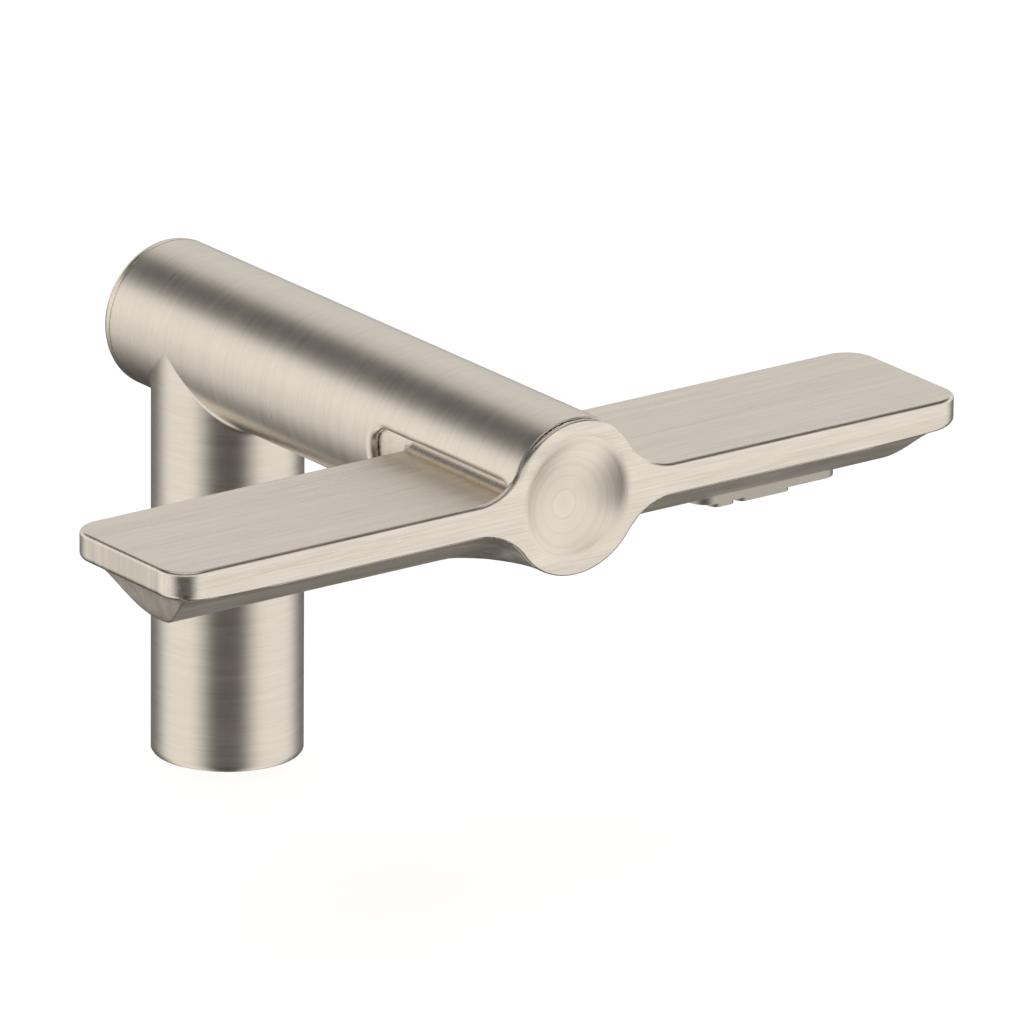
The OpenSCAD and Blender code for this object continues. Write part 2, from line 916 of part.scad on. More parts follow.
module air_manifold() {
    flat_y = back_y + 1.2;
    height = plenum_top - plenum_low;
    color(dark_plastic)
        head()
            difference() {
                union() {
                    translate([-plenum_reach, plenum_back - plenum_w, plenum_low])
                        cube([2 * plenum_reach, plenum_w, height]);
                    translate([-manifold_half, plenum_back - cut, plenum_low])
                        cube([2 * manifold_half, flat_y - plenum_back + cut, height]);
                    manifold_neck(manifold_wall);
                    rod_y(0, duct_rise, duct_r + manifold_wall, manifold_back,
                        manifold_back + socket_l);
                }
                translate([-plenum_reach - cut, plenum_back - plenum_w + manifold_wall,
                    plenum_low + manifold_wall])
                    cube([2 * plenum_reach + 2 * cut, plenum_w - 2 * manifold_wall,
                        height - 2 * manifold_wall]);
                translate([-manifold_half + manifold_wall, plenum_back - 2 * manifold_wall,
                    plenum_low + manifold_wall])
                    cube([2 * (manifold_half - manifold_wall),
                        flat_y - plenum_back + 2 * manifold_wall, height - 2 * manifold_wall]);
                manifold_neck(0);
                rod_y(0, duct_rise, duct_r - duct_wall, manifold_back - 0.02, manifold_back + cut);
                rod_y(0, duct_rise, duct_r + run_gap, manifold_back + 0.2,
                    manifold_back + socket_l + cut);
            }
}

module barrel_spacers() {
    reach = duct_bend - duct_y + 14;
    run = -manifold_back - socket_l - reach;
    color(pale_plastic)
        head()
            for (place = spacer_places)
                translate([0, -reach - run * place, 0])
                    difference() {
                        rod_y(0, 0, bore_r - seat_gap, -spacer_t, 0);
                        rod_y(0, duct_rise, duct_r + run_gap, -spacer_t - cut, cut);
                        rod_y(pipe_x, pipe_drop, pipe_r + run_gap, -spacer_t - cut, cut);
                        rod_y(cable_x, cable_drop, cable_r + run_gap, -spacer_t - cut, cut);
                    }
}

module stem_spacer() {
    color(pale_plastic)
        translate([0, 0, spacer_z])
            difference() {
                cylinder(r = bore_r - seat_gap, h = spacer_t);
                translate([0, duct_y, -cut])
                    cylinder(r = duct_r + run_gap, h = spacer_t + 2 * cut);
                translate([pipe_x, pipe_stem_y, -cut])
                    cylinder(r = pipe_r + run_gap, h = spacer_t + 2 * cut);
                translate([cable_x, cable_y, -cut])
                    cylinder(r = cable_r + run_gap, h = spacer_t + 2 * cut);
            }
}

// The holes of the foot for the air, the water, the cable and the fixings
module foot_holes(gap, stud_hole_r) {
    translate([0, duct_y, -cut])
        cylinder(r = collar_r + gap, h = foot_top + 2 * cut);
    translate([0, -water_y, -cut])
        cylinder(r = fitting_r + gap, h = foot_top + 2 * cut);
    translate([cable_x, cable_y, -cut])
        cylinder(r = grommet_r + gap, h = foot_top + 2 * cut);
    for (side = [-1, 1])
        translate([side * stud_gap / 2, stud_y, -cut])
            cylinder(r = stud_hole_r, h = foot_top + 2 * cut);
}

module base_ring() {
    color(metal)
        difference() {
            translate([0, 0, base_gasket_t])
                cylinder(r = bore_r - seat_gap, h = base_t);
            foot_holes(0.05, stud_r);
        }
}

module base_gasket() {
    color(rubber)
        difference() {
            cylinder(r = bore_r - seat_gap, h = base_gasket_t);
            foot_holes(0.3, stud_r + 1.4);
        }
}

module air_inlet_collar() {
    top = duct_foot + 6.5;
    color(dark_plastic)
        translate([0, duct_y, 0])
            difference() {
                translate([0, 0, fitting_low])
                    cylinder(r = collar_r, h = top - fitting_low);
                translate([0, 0, fitting_low - cut])
                    cylinder(r = air_bore_r, h = air_bore_l + cut);
                cylinder(r = duct_r - duct_wall, h = top);
                translate([0, 0, duct_foot])
                    cylinder(r = duct_r + run_gap, h = top);
                translate([0, 0, top - 1])
                    cylinder(r = duct_r + 0.9, h = 2);
            }
}

module air_oring() {
    color(rubber)
        translate([0, duct_y, duct_foot + 6])
            oring(duct_r + 0.46, 0.42);
}

module inlet_fitting() {
    color(brass)
        translate([0, -water_y, 0])
            difference() {
                union() {
                    translate([0, 0, fitting_low])
                        cylinder(r = fitting_r, h = fitting_top - fitting_low);
                    translate([0, 0, foot_top])
                        cylinder(r = fitting_r + 0.6, h = 1.5);
                }
                translate([0, 0, fitting_low - cut])
                    cylinder(r = inlet_bore_r, h = inlet_bore_l + cut);
                translate([0, 0, filter_z - cut])
                    cylinder(r = filter_r, h = filter_t + cut);
                translate([0, 0, filter_z])
                    cylinder(r = throat_r, h = fitting_top);
                translate([0, 0, seat_z])
                    cylinder(r = chamber_r, h = fitting_top);
            }
}

module inlet_filter() {
    color(pale_plastic)
        translate([0, -water_y, filter_z])
            difference() {
                cylinder(r = filter_r - 0.05, h = filter_t);
                translate([0, 0, -cut])
                    hole_rings(2, 1.2, 0.4, 4);
            }
}

module check_poppet() {
    color(pale_plastic)
        translate([0, -water_y, seat_z])
            union() {
                cylinder(r = throat_r + 1.1, h = poppet_head_t);
                cylinder(r = poppet_stem_r, h = guide_z + guide_t - seat_z + 0.4);
            }
}

module check_spring() {
    color(metal)
        translate([0, -water_y, seat_z + poppet_head_t])
            coil_spring(throat_r - 0.4, check_wire_r, check_spring_l, check_turns);
}

module check_guide() {
    color(pale_plastic)
        translate([0, -water_y, guide_z])
            difference() {
                cylinder(r = chamber_r - 0.05, h = guide_t);
                translate([0, 0, -cut])
                    cylinder(r = poppet_stem_r + run_gap, h = 4);
                for (a = [0:60:300])
                    rotate([0, 0, a])
                        translate([3.5, 0, -cut])
                            cylinder(r = 0.95, h = 4);
            }
}

module valve_body() {
    boss_low = nozzle_z - arm_low - 0.5;
    color(brass)
        translate([0, -water_y, 0])
            difference() {
                union() {
                    translate([0, 0, fitting_top])
                        cylinder(r = body_r, h = chamber_top - fitting_top);
                    rotate([0, 0, arm_a])
                        translate([0, -arm_w / 2, nozzle_z - arm_low])
                            cube([arm_l, arm_w, 2 * arm_low + passage_r]);
                    translate([pipe_x, water_y + pipe_stem_y, boss_low])
                        cylinder(r = lug_r - 0.2, h = chamber_top - boss_low);
                }
                translate([0, 0, fitting_top - cut])
                    cylinder(r = 3.4, h = 5.5 + cut);
                cylinder(r = nozzle_r, h = nozzle_z + cut);
                difference() {
                    translate([0, 0, nozzle_z - 2])
                        cylinder(r = valve_chamber_r, h = chamber_top);
                    cylinder(r = nozzle_r + 1, h = nozzle_z);
                }
                translate([0, 0, nozzle_z + 0.6])
                    rotate([0, 0, arm_a])
                        translate([nozzle_r + 2, 0, 0])
                            rotate([0, 90, 0])
                                cylinder(r = passage_r - 0.2, h = arm_l - nozzle_r - 2);
                translate([pipe_x, water_y + pipe_stem_y, nozzle_z + 0.6])
                    cylinder(r = passage_r, h = 30);
                translate([pipe_x, water_y + pipe_stem_y, socket_low])
                    cylinder(r = pipe_r + run_gap, h = 30);
                translate([pipe_x, water_y + pipe_stem_y, chamber_top - 1])
                    cylinder(r = pipe_r + 0.9, h = 30);
            }
}

module valve_guide_tube() {
    color(metal)
        translate([0, -water_y, 0])
            difference() {
                union() {
                    translate([0, 0, nozzle_z + 3.5])
                        cylinder(r = valve_chamber_r - 0.05, h = chamber_top - nozzle_z - 3.5);
                    translate([0, 0, chamber_top])
                        cylinder(r = guide_r, h = guide_out_top - chamber_top);
                }
                translate([0, 0, nozzle_z])
                    cylinder(r = plunger_r + run_gap, h = guide_in_top - nozzle_z);
            }
}

module valve_coil() {
    color(copper)
        translate([0, -water_y, coil_z])
            difference() {
                union() {
                    cylinder(r = coil_r, h = 1.2);
                    cylinder(r = coil_r - 0.7, h = coil_top - coil_z - yoke_t);
                    translate([0, 0, coil_top - coil_z - yoke_t - 1.2])
                        cylinder(r = coil_r, h = 1.2);
                }
                translate([0, 0, -cut])
                    cylinder(r = guide_r + 0.1, h = coil_top);
            }
}

module coil_yoke() {
    web_x = coil_r + 0.2;
    color(metal)
        translate([0, -water_y, 0])
            difference() {
                union() {
                    translate([0, 0, coil_z - yoke_t])
                        cylinder(r = coil_r - 0.2, h = yoke_t);
                    translate([0, 0, coil_top - yoke_t])
                        cylinder(r = coil_r - 0.2, h = yoke_t);
                    translate([0, -4, coil_z - yoke_t])
                        cube([web_x + yoke_t, 8, yoke_t]);
                    translate([0, -4, coil_top - yoke_t])
                        cube([web_x + yoke_t, 8, yoke_t]);
                    translate([web_x, -4, coil_z - yoke_t])
                        cube([yoke_t, 8, coil_top - coil_z + yoke_t]);
                }
                translate([0, 0, coil_z - yoke_t - cut])
                    cylinder(r = guide_r + 0.1, h = coil_top);
            }
}

module valve_plunger() {
    color("#8f9294")
        translate([0, -water_y, plunger_z - seal_sunk])
            difference() {
                cylinder(r = plunger_r, h = plunger_l + seal_sunk);
                translate([0, 0, -cut])
                    cylinder(r = seal_r, h = seal_sunk + cut);
            }
}

module valve_seal() {
    color(rubber)
        translate([0, -water_y, nozzle_z])
            cylinder(r = seal_r - 0.02, h = seal_t);
}

module valve_spring() {
    color(metal)
        translate([0, -water_y, plunger_z + plunger_l])
            coil_spring(plunger_r - 1.15, valve_wire_r, valve_spring_l, valve_turns);
}

// A cable through the given points, with round corners
module cable(points) {
    for (i = [0:len(points) - 2]) {
        step = points[i + 1] - points[i];
        turn = atan2(norm([step.x, step.y]), step.z);
        translate(points[i])
            rotate([0, turn, atan2(step.y, step.x)])
                cylinder(r = cable_r, h = norm(step), $fn = 24);
    }
    for (i = [1:len(points) - 2])
        translate(points[i])
            sphere(r = cable_r + 0.05, $fn = 24);
}

module sensor_cable() {
    wing_y = plenum_back - plenum_w - 4;
    wing_z = axis_z + board_z + 1.6 + cable_r;
    low_z = axis_z + cable_drop;
    color(rubber)
        cable([
            [outlet_x - 21, mid_y + pod_y, wing_z],
            [outlet_x - 32, mid_y + pod_y, wing_z],
            [outlet_x - 40, wing_y, axis_z + band_low],
            [cable_x, wing_y, axis_z + band_low],
            [cable_x, wing_y, low_z],
            [cable_x, cable_y, low_z],
            [cable_x, cable_y, fitting_low]
        ]);
}

module cable_grommet() {
    color(rubber)
        translate([cable_x, cable_y, 0])
            difference() {
                union() {
                    translate([0, 0, fitting_low])
                        cylinder(r = grommet_r, h = foot_top - fitting_low + 1);
                    translate([0, 0, foot_top])
                        cylinder(r = grommet_r + 0.7, h = 1);
                }
                translate([0, 0, -cut])
                    cylinder(r = cable_r + run_gap, h = foot_top + 4);
            }
}

stem_tube();
barrel_tube();
rear_cap();
front_casting();
hub_gasket();
head_grub_screws();
left_keel();
right_keel();
left_air_outlet();
right_air_outlet();
hand_sensor_bezels();
hand_sensor_lenses();
hand_sensor_board();
water_sensor_lens();
water_sensor_board();
aerator_shell();
aerator_screen();
aerator_washer();
outlet_block();
water_pipe();
pipe_orings();
air_duct();
air_manifold();
barrel_spacers();
stem_spacer();
base_ring();
base_gasket();
air_inlet_collar();
air_oring();
inlet_fitting();
inlet_filter();
check_poppet();
check_spring();
check_guide();
valve_body();
valve_guide_tube();
valve_coil();
coil_yoke();
valve_plunger();
valve_seal();
valve_spring();
sensor_cable();
cable_grommet();
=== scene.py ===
"""Touchless basin tap with a built-in hand dryer: the visible model, its finishes and its studio.

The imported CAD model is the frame. Pieces whose look needs softer edges than the CAD solids
have are made here and stand for their nodes; every other node keeps its mesh and gets a finish.
Lengths in the mesh code are millimetres, and points are turned into metres once, at the end.
"""

import json
import math
from functools import partial

import bpy
import numpy as np
from mathutils import Matrix, Vector


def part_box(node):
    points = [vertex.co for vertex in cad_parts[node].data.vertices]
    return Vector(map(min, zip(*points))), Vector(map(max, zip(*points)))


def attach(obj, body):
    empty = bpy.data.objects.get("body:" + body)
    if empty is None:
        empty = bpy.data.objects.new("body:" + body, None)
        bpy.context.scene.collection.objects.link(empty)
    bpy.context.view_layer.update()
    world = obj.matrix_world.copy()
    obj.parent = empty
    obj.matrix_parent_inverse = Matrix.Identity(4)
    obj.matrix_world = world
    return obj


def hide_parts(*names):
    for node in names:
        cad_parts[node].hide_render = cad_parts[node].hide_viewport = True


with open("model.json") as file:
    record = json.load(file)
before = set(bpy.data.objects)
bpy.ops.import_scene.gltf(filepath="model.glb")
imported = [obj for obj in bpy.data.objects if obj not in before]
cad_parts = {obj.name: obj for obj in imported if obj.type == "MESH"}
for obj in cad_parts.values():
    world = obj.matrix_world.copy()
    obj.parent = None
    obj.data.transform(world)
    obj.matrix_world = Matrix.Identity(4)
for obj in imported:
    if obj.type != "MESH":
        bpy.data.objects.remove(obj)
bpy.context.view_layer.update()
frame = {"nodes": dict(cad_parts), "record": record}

bl_info = {
    "name": "Dryer tap",
    "version": (1, 0, 0),
    "blender": (4, 5, 0),
    "location": "View3D > Sidebar > Tap",
    "description": "Builds the skins, finishes and studio of a basin tap with hand dryer",
    "category": "Object",
}

MM = 0.001
BODY = "faucet"


# Sizes and colours that a user may change

class TapSizes(bpy.types.PropertyGroup):
    """Sizes of the tap's main pieces; the roundings follow the photo closer than the CAD does"""

    tube_radius: bpy.props.FloatProperty(
        name="Tube radius", description="Outer radius of the stem and of the barrel",
        default=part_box("stem_tube")[1].x, min=0.018, max=0.032, unit="LENGTH")
    barrel_height: bpy.props.FloatProperty(
        name="Barrel height", description="Height of the barrel's axis above the deck",
        default=0.135, min=0.09, max=0.2, unit="LENGTH")
    weld_radius: bpy.props.FloatProperty(
        name="Weld fillet", description="Radius of the fillet between stem and barrel",
        default=0.0022, min=0.001, max=0.004, unit="LENGTH")
    window_rise: bpy.props.FloatProperty(
        name="Window rise", description="Top of the barrel's side windows above its axis",
        default=0.0065, min=0.005, max=0.009, unit="LENGTH")
    window_roll: bpy.props.FloatProperty(
        name="Window roll", description="Rounding of the edge round each side window",
        default=0.003, min=0.0008, max=0.0032, unit="LENGTH")
    edge_radius: bpy.props.FloatProperty(
        name="Wing edge", description="Rounding of the wings' upper edge",
        default=0.0014, min=0.0008, max=0.0025, unit="LENGTH")
    root_fillet: bpy.props.FloatProperty(
        name="Wing root fillet", description="Fillet where the wings meet the wall in the windows",
        default=0.0034, min=0.001, max=0.004, unit="LENGTH")
    dish_rim: bpy.props.FloatProperty(
        name="Dish rim", description="Rounding of the rim of the hub's hollow front",
        default=0.0008, min=0.0004, max=0.002, unit="LENGTH")
    mesh_step: bpy.props.FloatProperty(
        name="Mesh step", description="Spacing of the mesh lines where a surface turns quickly",
        default=0.0005, min=0.0004, max=0.0015, unit="LENGTH")


class TapFinish(bpy.types.PropertyGroup):
    """Colours and roughness of the tap's finishes"""

    nickel: bpy.props.FloatVectorProperty(
        name="Nickel", description="Colour of the brushed metal",
        subtype="COLOR", size=3, default=(0.775, 0.715, 0.625), min=0, max=1)
    nickel_roughness: bpy.props.FloatProperty(
        name="Nickel roughness", description="Mean roughness of the brushed metal",
        default=0.3, min=0.1, max=0.6, subtype="FACTOR")
    streaks: bpy.props.FloatProperty(
        name="Brush streaks", description="Strength of the brushed metal's fine lines",
        default=0.5, min=0, max=1, subtype="FACTOR")
    floor: bpy.props.FloatVectorProperty(
        name="Floor", description="Colour of the studio floor",
        subtype="COLOR", size=3, default=(0.9, 0.9, 0.9), min=0, max=1)


# Fixed sizes of the CAD model, in millimetres

FRONT_Y = -184.0
BACK_Y = -126.0
MID_Y = -155.0
HALF_SPAN = 149.0
HALF_WIDTH = (BACK_Y - FRONT_Y) / 2
WING_TOP = 3.0
BAND_LOW = -7.2
TAPER_RUN = 46.0
CORNER_R = 10.0
KEEL_DEPTH = 15.0
KEEL_STEP = 0.5
HUB_R = 24.75
HUB_DROP = 1.2
NECK_HALF = 37.0
DISH_D = 39.0
DISH_DEPTH = 4.5
WALL = 2.0
KEEL_WALL = 2.2
CEILING = 0.3
CAVITY_INSET = 3.0
HUB_BACK = 10.7
WINDOW_LOW = -11.0
WINDOW_BACK = -110.0
WINDOW_CORNER = 4.5
BARREL_BACK = 30.0
CAP_T = 4.0
CAP_ROUND = 2.4
AERATOR_Y = -164.0
AERATOR_HOLE_R = 9.2
LENS_Y = -146.9
LENS_HOLE_R = 3.8
GRUB_X = 6.0
GRUB_Y = -178.0
GRUB_HOLE_R = 2.2
OUTLET_X = 91.0
OUTLET_L = 54.0
OUTLET_W = 12.0


# Sizes that only the skins have, in millimetres, set by the photo's edges and by what they hide

TIP_LOW = -6.1
LOW_EDGE_R = 1.1
TIP_EDGE_R = 2.0
HUB_EDGE_R = 2.2
TOP_EDGE_R = 0.6
FLANGE_T = 1.8
FLANGE_REACH = NECK_HALF + 6
FLANGE_FILLET = 1.2
FILLET_IN = 2.0
FILLET_BACK = FRONT_Y + 9
BARREL_FRONT = -181.8
BARREL_FRONT_R = 0.2
BARREL_BACK_R = 0.15
WINDOW_FRONT = BARREL_FRONT + 2.2
WINDOW_THICKER = 0.8
WALL_INSET = WALL + 0.85
WALL_FRONT = FRONT_Y + 4.1
WALL_LOW = -12.0
WALL_PAST = 2.5
SPIGOT_MID = FRONT_Y + 4.5
SPIGOT_HALF = 4.0
SPIGOT_GAP = 0.15
KEEL_TIP_STEP = 1.9
KEEL_END_SHELF = 4.0
KEEL_END_RUN = 11.0
KEEL_LEAD = 0.15
KEEL_END_LEAD = 0.2
KEEL_LAP = 0.25
KEEL_UNDER_BARREL = -21.5
MITRE_SOFT = 0.9
FLARE_DEPTH = 4.2
HOLLOW_FROM = 40.0
BARREL_GAP_R = 24.2
AERATOR_GAP_R = AERATOR_HOLE_R + 1.4
HOLE_TOP = -8.0
HOLE_EDGE_R = 0.25
OUTLET_TOP = -9.0
OUTLET_GAP = 0.4
OUTLET_EDGE_R = 0.3
GRILLE_TOP = -16.0
GRILLE_INSET = 0.9
SLOT_PITCH = 4.5
SLOT_HALF_W = 0.85
SLOT_HALF_L = 3.8
SLOT_DEPTH = 2.4
SLOT_MARGIN = 4.0
SLOT_EDGE_R = 0.2
SEAL_HALF_T = 0.19


# Spans in millimetres along X or Y over which a size changes from one value to the next

TIP_SPAN = (HALF_SPAN - 14, HALF_SPAN - 4)
CROWN_SPAN = (8, 20)
NECK_SPAN = (33, 22)
THICK_SPAN = (WINDOW_BACK + 14, WINDOW_BACK + 6)
FRONT_SPAN = (MID_Y + 14, MID_Y - 6)
FLARE_SPAN = (32, 12)
FLAT_SPAN = (5, 11)


# Distances of simple forms, negative inside

def round_union(a, b, r):
    """Both forms together, with a fillet between them"""
    return np.maximum(r, np.minimum(a, b)) - np.hypot(np.maximum(r - a, 0), np.maximum(r - b, 0))


def round_cut(a, b, r):
    """What two forms share, with its edge rounded"""
    return np.minimum(-r, np.maximum(a, b)) + np.hypot(np.maximum(r + a, 0), np.maximum(r + b, 0))


def eased(value, span):
    """0 before the span's start, 1 past its stop and smooth between them"""
    t = np.clip((value - span[0]) / (span[1] - span[0]), 0, 1)
    return t * t * (3 - 2 * t)


def rounded_rectangle(u, v, half_u, half_v, r):
    """Distance to a rectangle about the middle, with corners of radius r"""
    du, dv = np.abs(u) - half_u + r, np.abs(v) - half_v + r
    return np.hypot(np.maximum(du, 0), np.maximum(dv, 0)) + np.minimum(np.maximum(du, dv), 0) - r


def strip_outline(x, y, length, width, side):
    """Distance to the outline of the air outlet under one wing, seen from below"""
    return rounded_rectangle(x - side * OUTLET_X, y - MID_Y, length / 2, width / 2, width / 2)


def parting(x):
    """Height of the line between wing and keel, which rises towards the tips"""
    u = np.maximum(0, (np.abs(x) - HALF_SPAN + TAPER_RUN) / TAPER_RUN)
    return BAND_LOW + (TIP_LOW - BAND_LOW) * u * u


def ogee(t, lead):
    """Rises from 0 to 1 in an S, more at once where lead is larger"""
    return lead * np.sin(math.pi / 2 * t) + (1 - lead) / 2 * (1 - np.cos(math.pi * t))


def neck_radius(line):
    """Radius of the arc that leads from a straight edge at height line into the hub's circle"""
    return (NECK_HALF ** 2 + line ** 2 - HUB_R ** 2) / (2 * (HUB_R - line))


def hub_half(x, z, line):
    """Distance to the hub's outline on the side where the straight edge lies at height line"""
    radius = neck_radius(line)
    centre_z = line + radius
    meet = math.atan2(centre_z, NECK_HALF)
    ax = np.abs(x)
    crown = np.hypot(ax, z) - HUB_R
    neck = radius - np.hypot(ax - NECK_HALF, z - centre_z)
    inner = np.where(np.arctan2(z, ax) > meet, crown, neck)
    return np.where(ax >= NECK_HALF, z - line, inner)


def hub_halves(x, z):
    """Distances to the upper and the lower outline of hub and necks, seen from the front"""
    return (hub_half(x, z + HUB_DROP, WING_TOP + HUB_DROP),
            hub_half(x, -z - HUB_DROP, -BAND_LOW - HUB_DROP))


def wing_form(x, y, z, sizes):
    """The two wings' plate with its rounded edges"""
    plan = rounded_rectangle(x, y - MID_Y, HALF_SPAN, HALF_WIDTH, CORNER_R)
    upper = round_cut(plan, z - WING_TOP, sizes["edge_radius"])
    low_r = LOW_EDGE_R + (TIP_EDGE_R - LOW_EDGE_R) * eased(np.abs(x), TIP_SPAN)
    return round_cut(upper, parting(x) - z, low_r)


def flange_form(x, y, z, sizes):
    """The hub's disc with the necks that carry it into the wings"""
    front = FRONT_Y - y
    upper, lower = hub_halves(x, z)
    edge = sizes["edge_radius"]
    # The front's upper edge is softest on the necks, between the crown and the wings
    off_crown = TOP_EDGE_R + (HUB_EDGE_R - TOP_EDGE_R) * eased(np.abs(x), CROWN_SPAN)
    off_wing = edge + (HUB_EDGE_R - edge) * eased(np.abs(x), NECK_SPAN)
    top = round_cut(upper, front, np.minimum(off_crown, off_wing))
    low = round_cut(lower, front, LOW_EDGE_R)
    disc = np.maximum(np.maximum(top, low), y - (FRONT_Y + FLANGE_T))
    return np.maximum(disc, np.abs(x) - FLANGE_REACH)


def casting_form(x, y, z, sizes):
    """Wings, hub and window walls in one, with fillets between them"""
    wing = wing_form(x, y, z, sizes)
    flange_back = y - (FRONT_Y + FLANGE_T)
    outline = np.maximum(*hub_halves(x, z))
    fillet = np.maximum(round_union(z - WING_TOP, flange_back, FLANGE_FILLET), outline)
    fillet = np.maximum(fillet, np.maximum(BAND_LOW + FILLET_IN - z, FRONT_Y + FILLET_IN - y))
    fillet = np.maximum(fillet, np.maximum(np.abs(x) - FLANGE_REACH, y - FILLET_BACK))
    wall_r = sizes["tube_radius"] - WALL_INSET
    wall = np.hypot(x, z) - wall_r
    wall = np.maximum(wall, np.maximum(z - (sizes["window_rise"] + WALL_PAST), WALL_LOW - z))
    wall = np.maximum(wall, np.maximum(WALL_FRONT - y, y - (WINDOW_BACK + WALL_PAST)))
    body = round_union(wing, wall, sizes["root_fillet"])
    spigot = np.hypot(x, z) - (wall_r - SPIGOT_GAP)
    body = np.minimum(body, np.maximum(spigot, np.abs(y - SPIGOT_MID) - SPIGOT_HALF))
    body = np.minimum(np.minimum(body, flange_form(x, y, z, sizes)), fillet)
    ball_r = (DISH_D ** 2 / 4 + DISH_DEPTH ** 2) / (2 * DISH_DEPTH)
    ball_y = FRONT_Y + DISH_DEPTH - ball_r
    ball = np.sqrt(x * x + (y - ball_y) ** 2 + (z + HUB_DROP) ** 2) - ball_r
    body = round_cut(body, -ball, sizes["dish_rim"])
    return np.maximum(np.maximum(body, FRONT_Y - y), -cavity_form(x, y, z))


def cavity_form(x, y, z):
    """The air space under the wings' top plate, shallower behind the hub"""
    ax = np.abs(x)
    start = np.where(ax > NECK_HALF - 4, FRONT_Y + CAVITY_INSET, FRONT_Y + HUB_BACK)
    room = np.maximum(start - y, y - (BACK_Y - CAVITY_INSET))
    room = np.maximum(room, ax - (HALF_SPAN - CAVITY_INSET - 1))
    return np.maximum(room, z - CEILING)


def window_form(y, z, sizes):
    """The slot through both sides of the barrel, round at all four corners"""
    low, high = WINDOW_LOW, sizes["window_rise"] - 1
    return rounded_rectangle(y - (WINDOW_FRONT + WINDOW_BACK) / 2, z - (low + high) / 2,
                             (WINDOW_BACK - WINDOW_FRONT) / 2, (high - low) / 2, WINDOW_CORNER)


def barrel_form(x, y, z, sizes):
    """The barrel with its windows and the holes in its underside"""
    away = np.hypot(x, z)
    body = round_cut(away - sizes["tube_radius"], BARREL_FRONT - y, BARREL_FRONT_R)
    body = round_cut(body, y - BARREL_BACK, BARREL_BACK_R)
    body = round_cut(body, -window_form(y, z, sizes), sizes["window_roll"])
    thick = WALL + WINDOW_THICKER * eased(y, THICK_SPAN)
    body = np.maximum(body, sizes["tube_radius"] - thick - away)
    below = z - HOLE_TOP
    for hole_x, hole_y, r in ((0, AERATOR_Y, AERATOR_HOLE_R), (0, LENS_Y, LENS_HOLE_R),
                              (-GRUB_X, GRUB_Y, GRUB_HOLE_R), (GRUB_X, GRUB_Y, GRUB_HOLE_R)):
        hole = np.maximum(np.hypot(x - hole_x, y - hole_y) - r, below)
        body = round_cut(body, -hole, HOLE_EDGE_R)
    return body


def low_edge(x):
    """Height of the front's lower edge: straight under the wings, then down round the hub"""
    line = -BAND_LOW - HUB_DROP
    radius = neck_radius(line)
    meet = HUB_R * NECK_HALF / math.hypot(NECK_HALF, line + radius)
    ax = np.abs(x)
    crown = np.sqrt(np.maximum(HUB_R ** 2 - ax * ax, 0))
    neck = line + radius - np.sqrt(np.maximum(radius ** 2 - (NECK_HALF - ax) ** 2, 0))
    return np.where(ax >= NECK_HALF, parting(x), -HUB_DROP - np.where(ax < meet, crown, neck))


def gasket_form(x, y, z, sizes):
    """The thin seal between hub and barrel, open where the wings pass"""
    middle_r = sizes["tube_radius"] - WALL / 2 - 0.15
    ring = np.abs(np.hypot(x, z) - middle_r) - (WALL / 2 - 0.25)
    ring = np.maximum(ring, np.abs(y - (FRONT_Y + FLANGE_T + BARREL_FRONT) / 2) - SEAL_HALF_T)
    return np.maximum(ring, np.minimum(z - WINDOW_LOW, sizes["window_rise"] + 1 - z))


def keel_drop(x, y):
    """Height of the keel's ogee surface, its ends mitred softly into its length"""
    run = HALF_WIDTH - KEEL_STEP
    ahead = run - np.abs(y - MID_Y)
    t = np.clip(ahead / run, 0, 1)
    keel_low = BAND_LOW - KEEL_DEPTH
    ax = np.abs(x)
    flare = keel_low - FLARE_DEPTH * eased(ax, FLARE_SPAN) * eased(y, FRONT_SPAN)
    edge = np.where(y < MID_Y, low_edge(x), parting(x))
    section = edge - (edge - flare) * ogee(t, KEEL_LEAD)
    flat = KEEL_UNDER_BARREL
    near = flat + (section - flat) * eased(ax, FLAT_SPAN)
    section = np.where(ax < FLAT_SPAN[1], near, section)
    s = np.clip((HALF_SPAN - KEEL_STEP - KEEL_END_SHELF - ax) / KEEL_END_RUN, 0, 1)
    length = TIP_LOW - (TIP_LOW - keel_low) * ogee(s, KEEL_END_LEAD)
    apart = np.maximum(MITRE_SOFT - np.abs(section - length), 0) / MITRE_SOFT
    return np.maximum(section, length) + apart * apart * MITRE_SOFT / 4


def keel_form(x, y, z, side):
    """One keel shell, open where its air outlet sits"""
    h = 0.05
    height = keel_drop(x, y)
    slope_x = (keel_drop(x + h, y) - keel_drop(x - h, y)) / (2 * h)
    slope_y = (keel_drop(x, y + h) - keel_drop(x, y - h)) / (2 * h)
    steep = np.sqrt(1 + np.minimum(slope_x ** 2 + slope_y ** 2, 9))
    body = (height - z) / steep
    plan = rounded_rectangle(x, y - MID_Y, HALF_SPAN - KEEL_TIP_STEP,
                             HALF_WIDTH - KEEL_STEP, CORNER_R + 1)
    inner = np.maximum(np.maximum(body, plan) + KEEL_WALL, HOLLOW_FROM - np.abs(x))
    body = np.maximum(np.maximum(body, plan), z - parting(x) - KEEL_LAP)
    body = np.maximum(body, BARREL_GAP_R - np.hypot(x, z))
    body = np.maximum(body, AERATOR_GAP_R - np.hypot(x, y - AERATOR_Y))
    body = np.maximum(body, -inner)
    hole = strip_outline(x, y, OUTLET_L + OUTLET_GAP, OUTLET_W + OUTLET_GAP, side)
    return round_cut(body, -np.maximum(hole, z - OUTLET_TOP), OUTLET_EDGE_R)


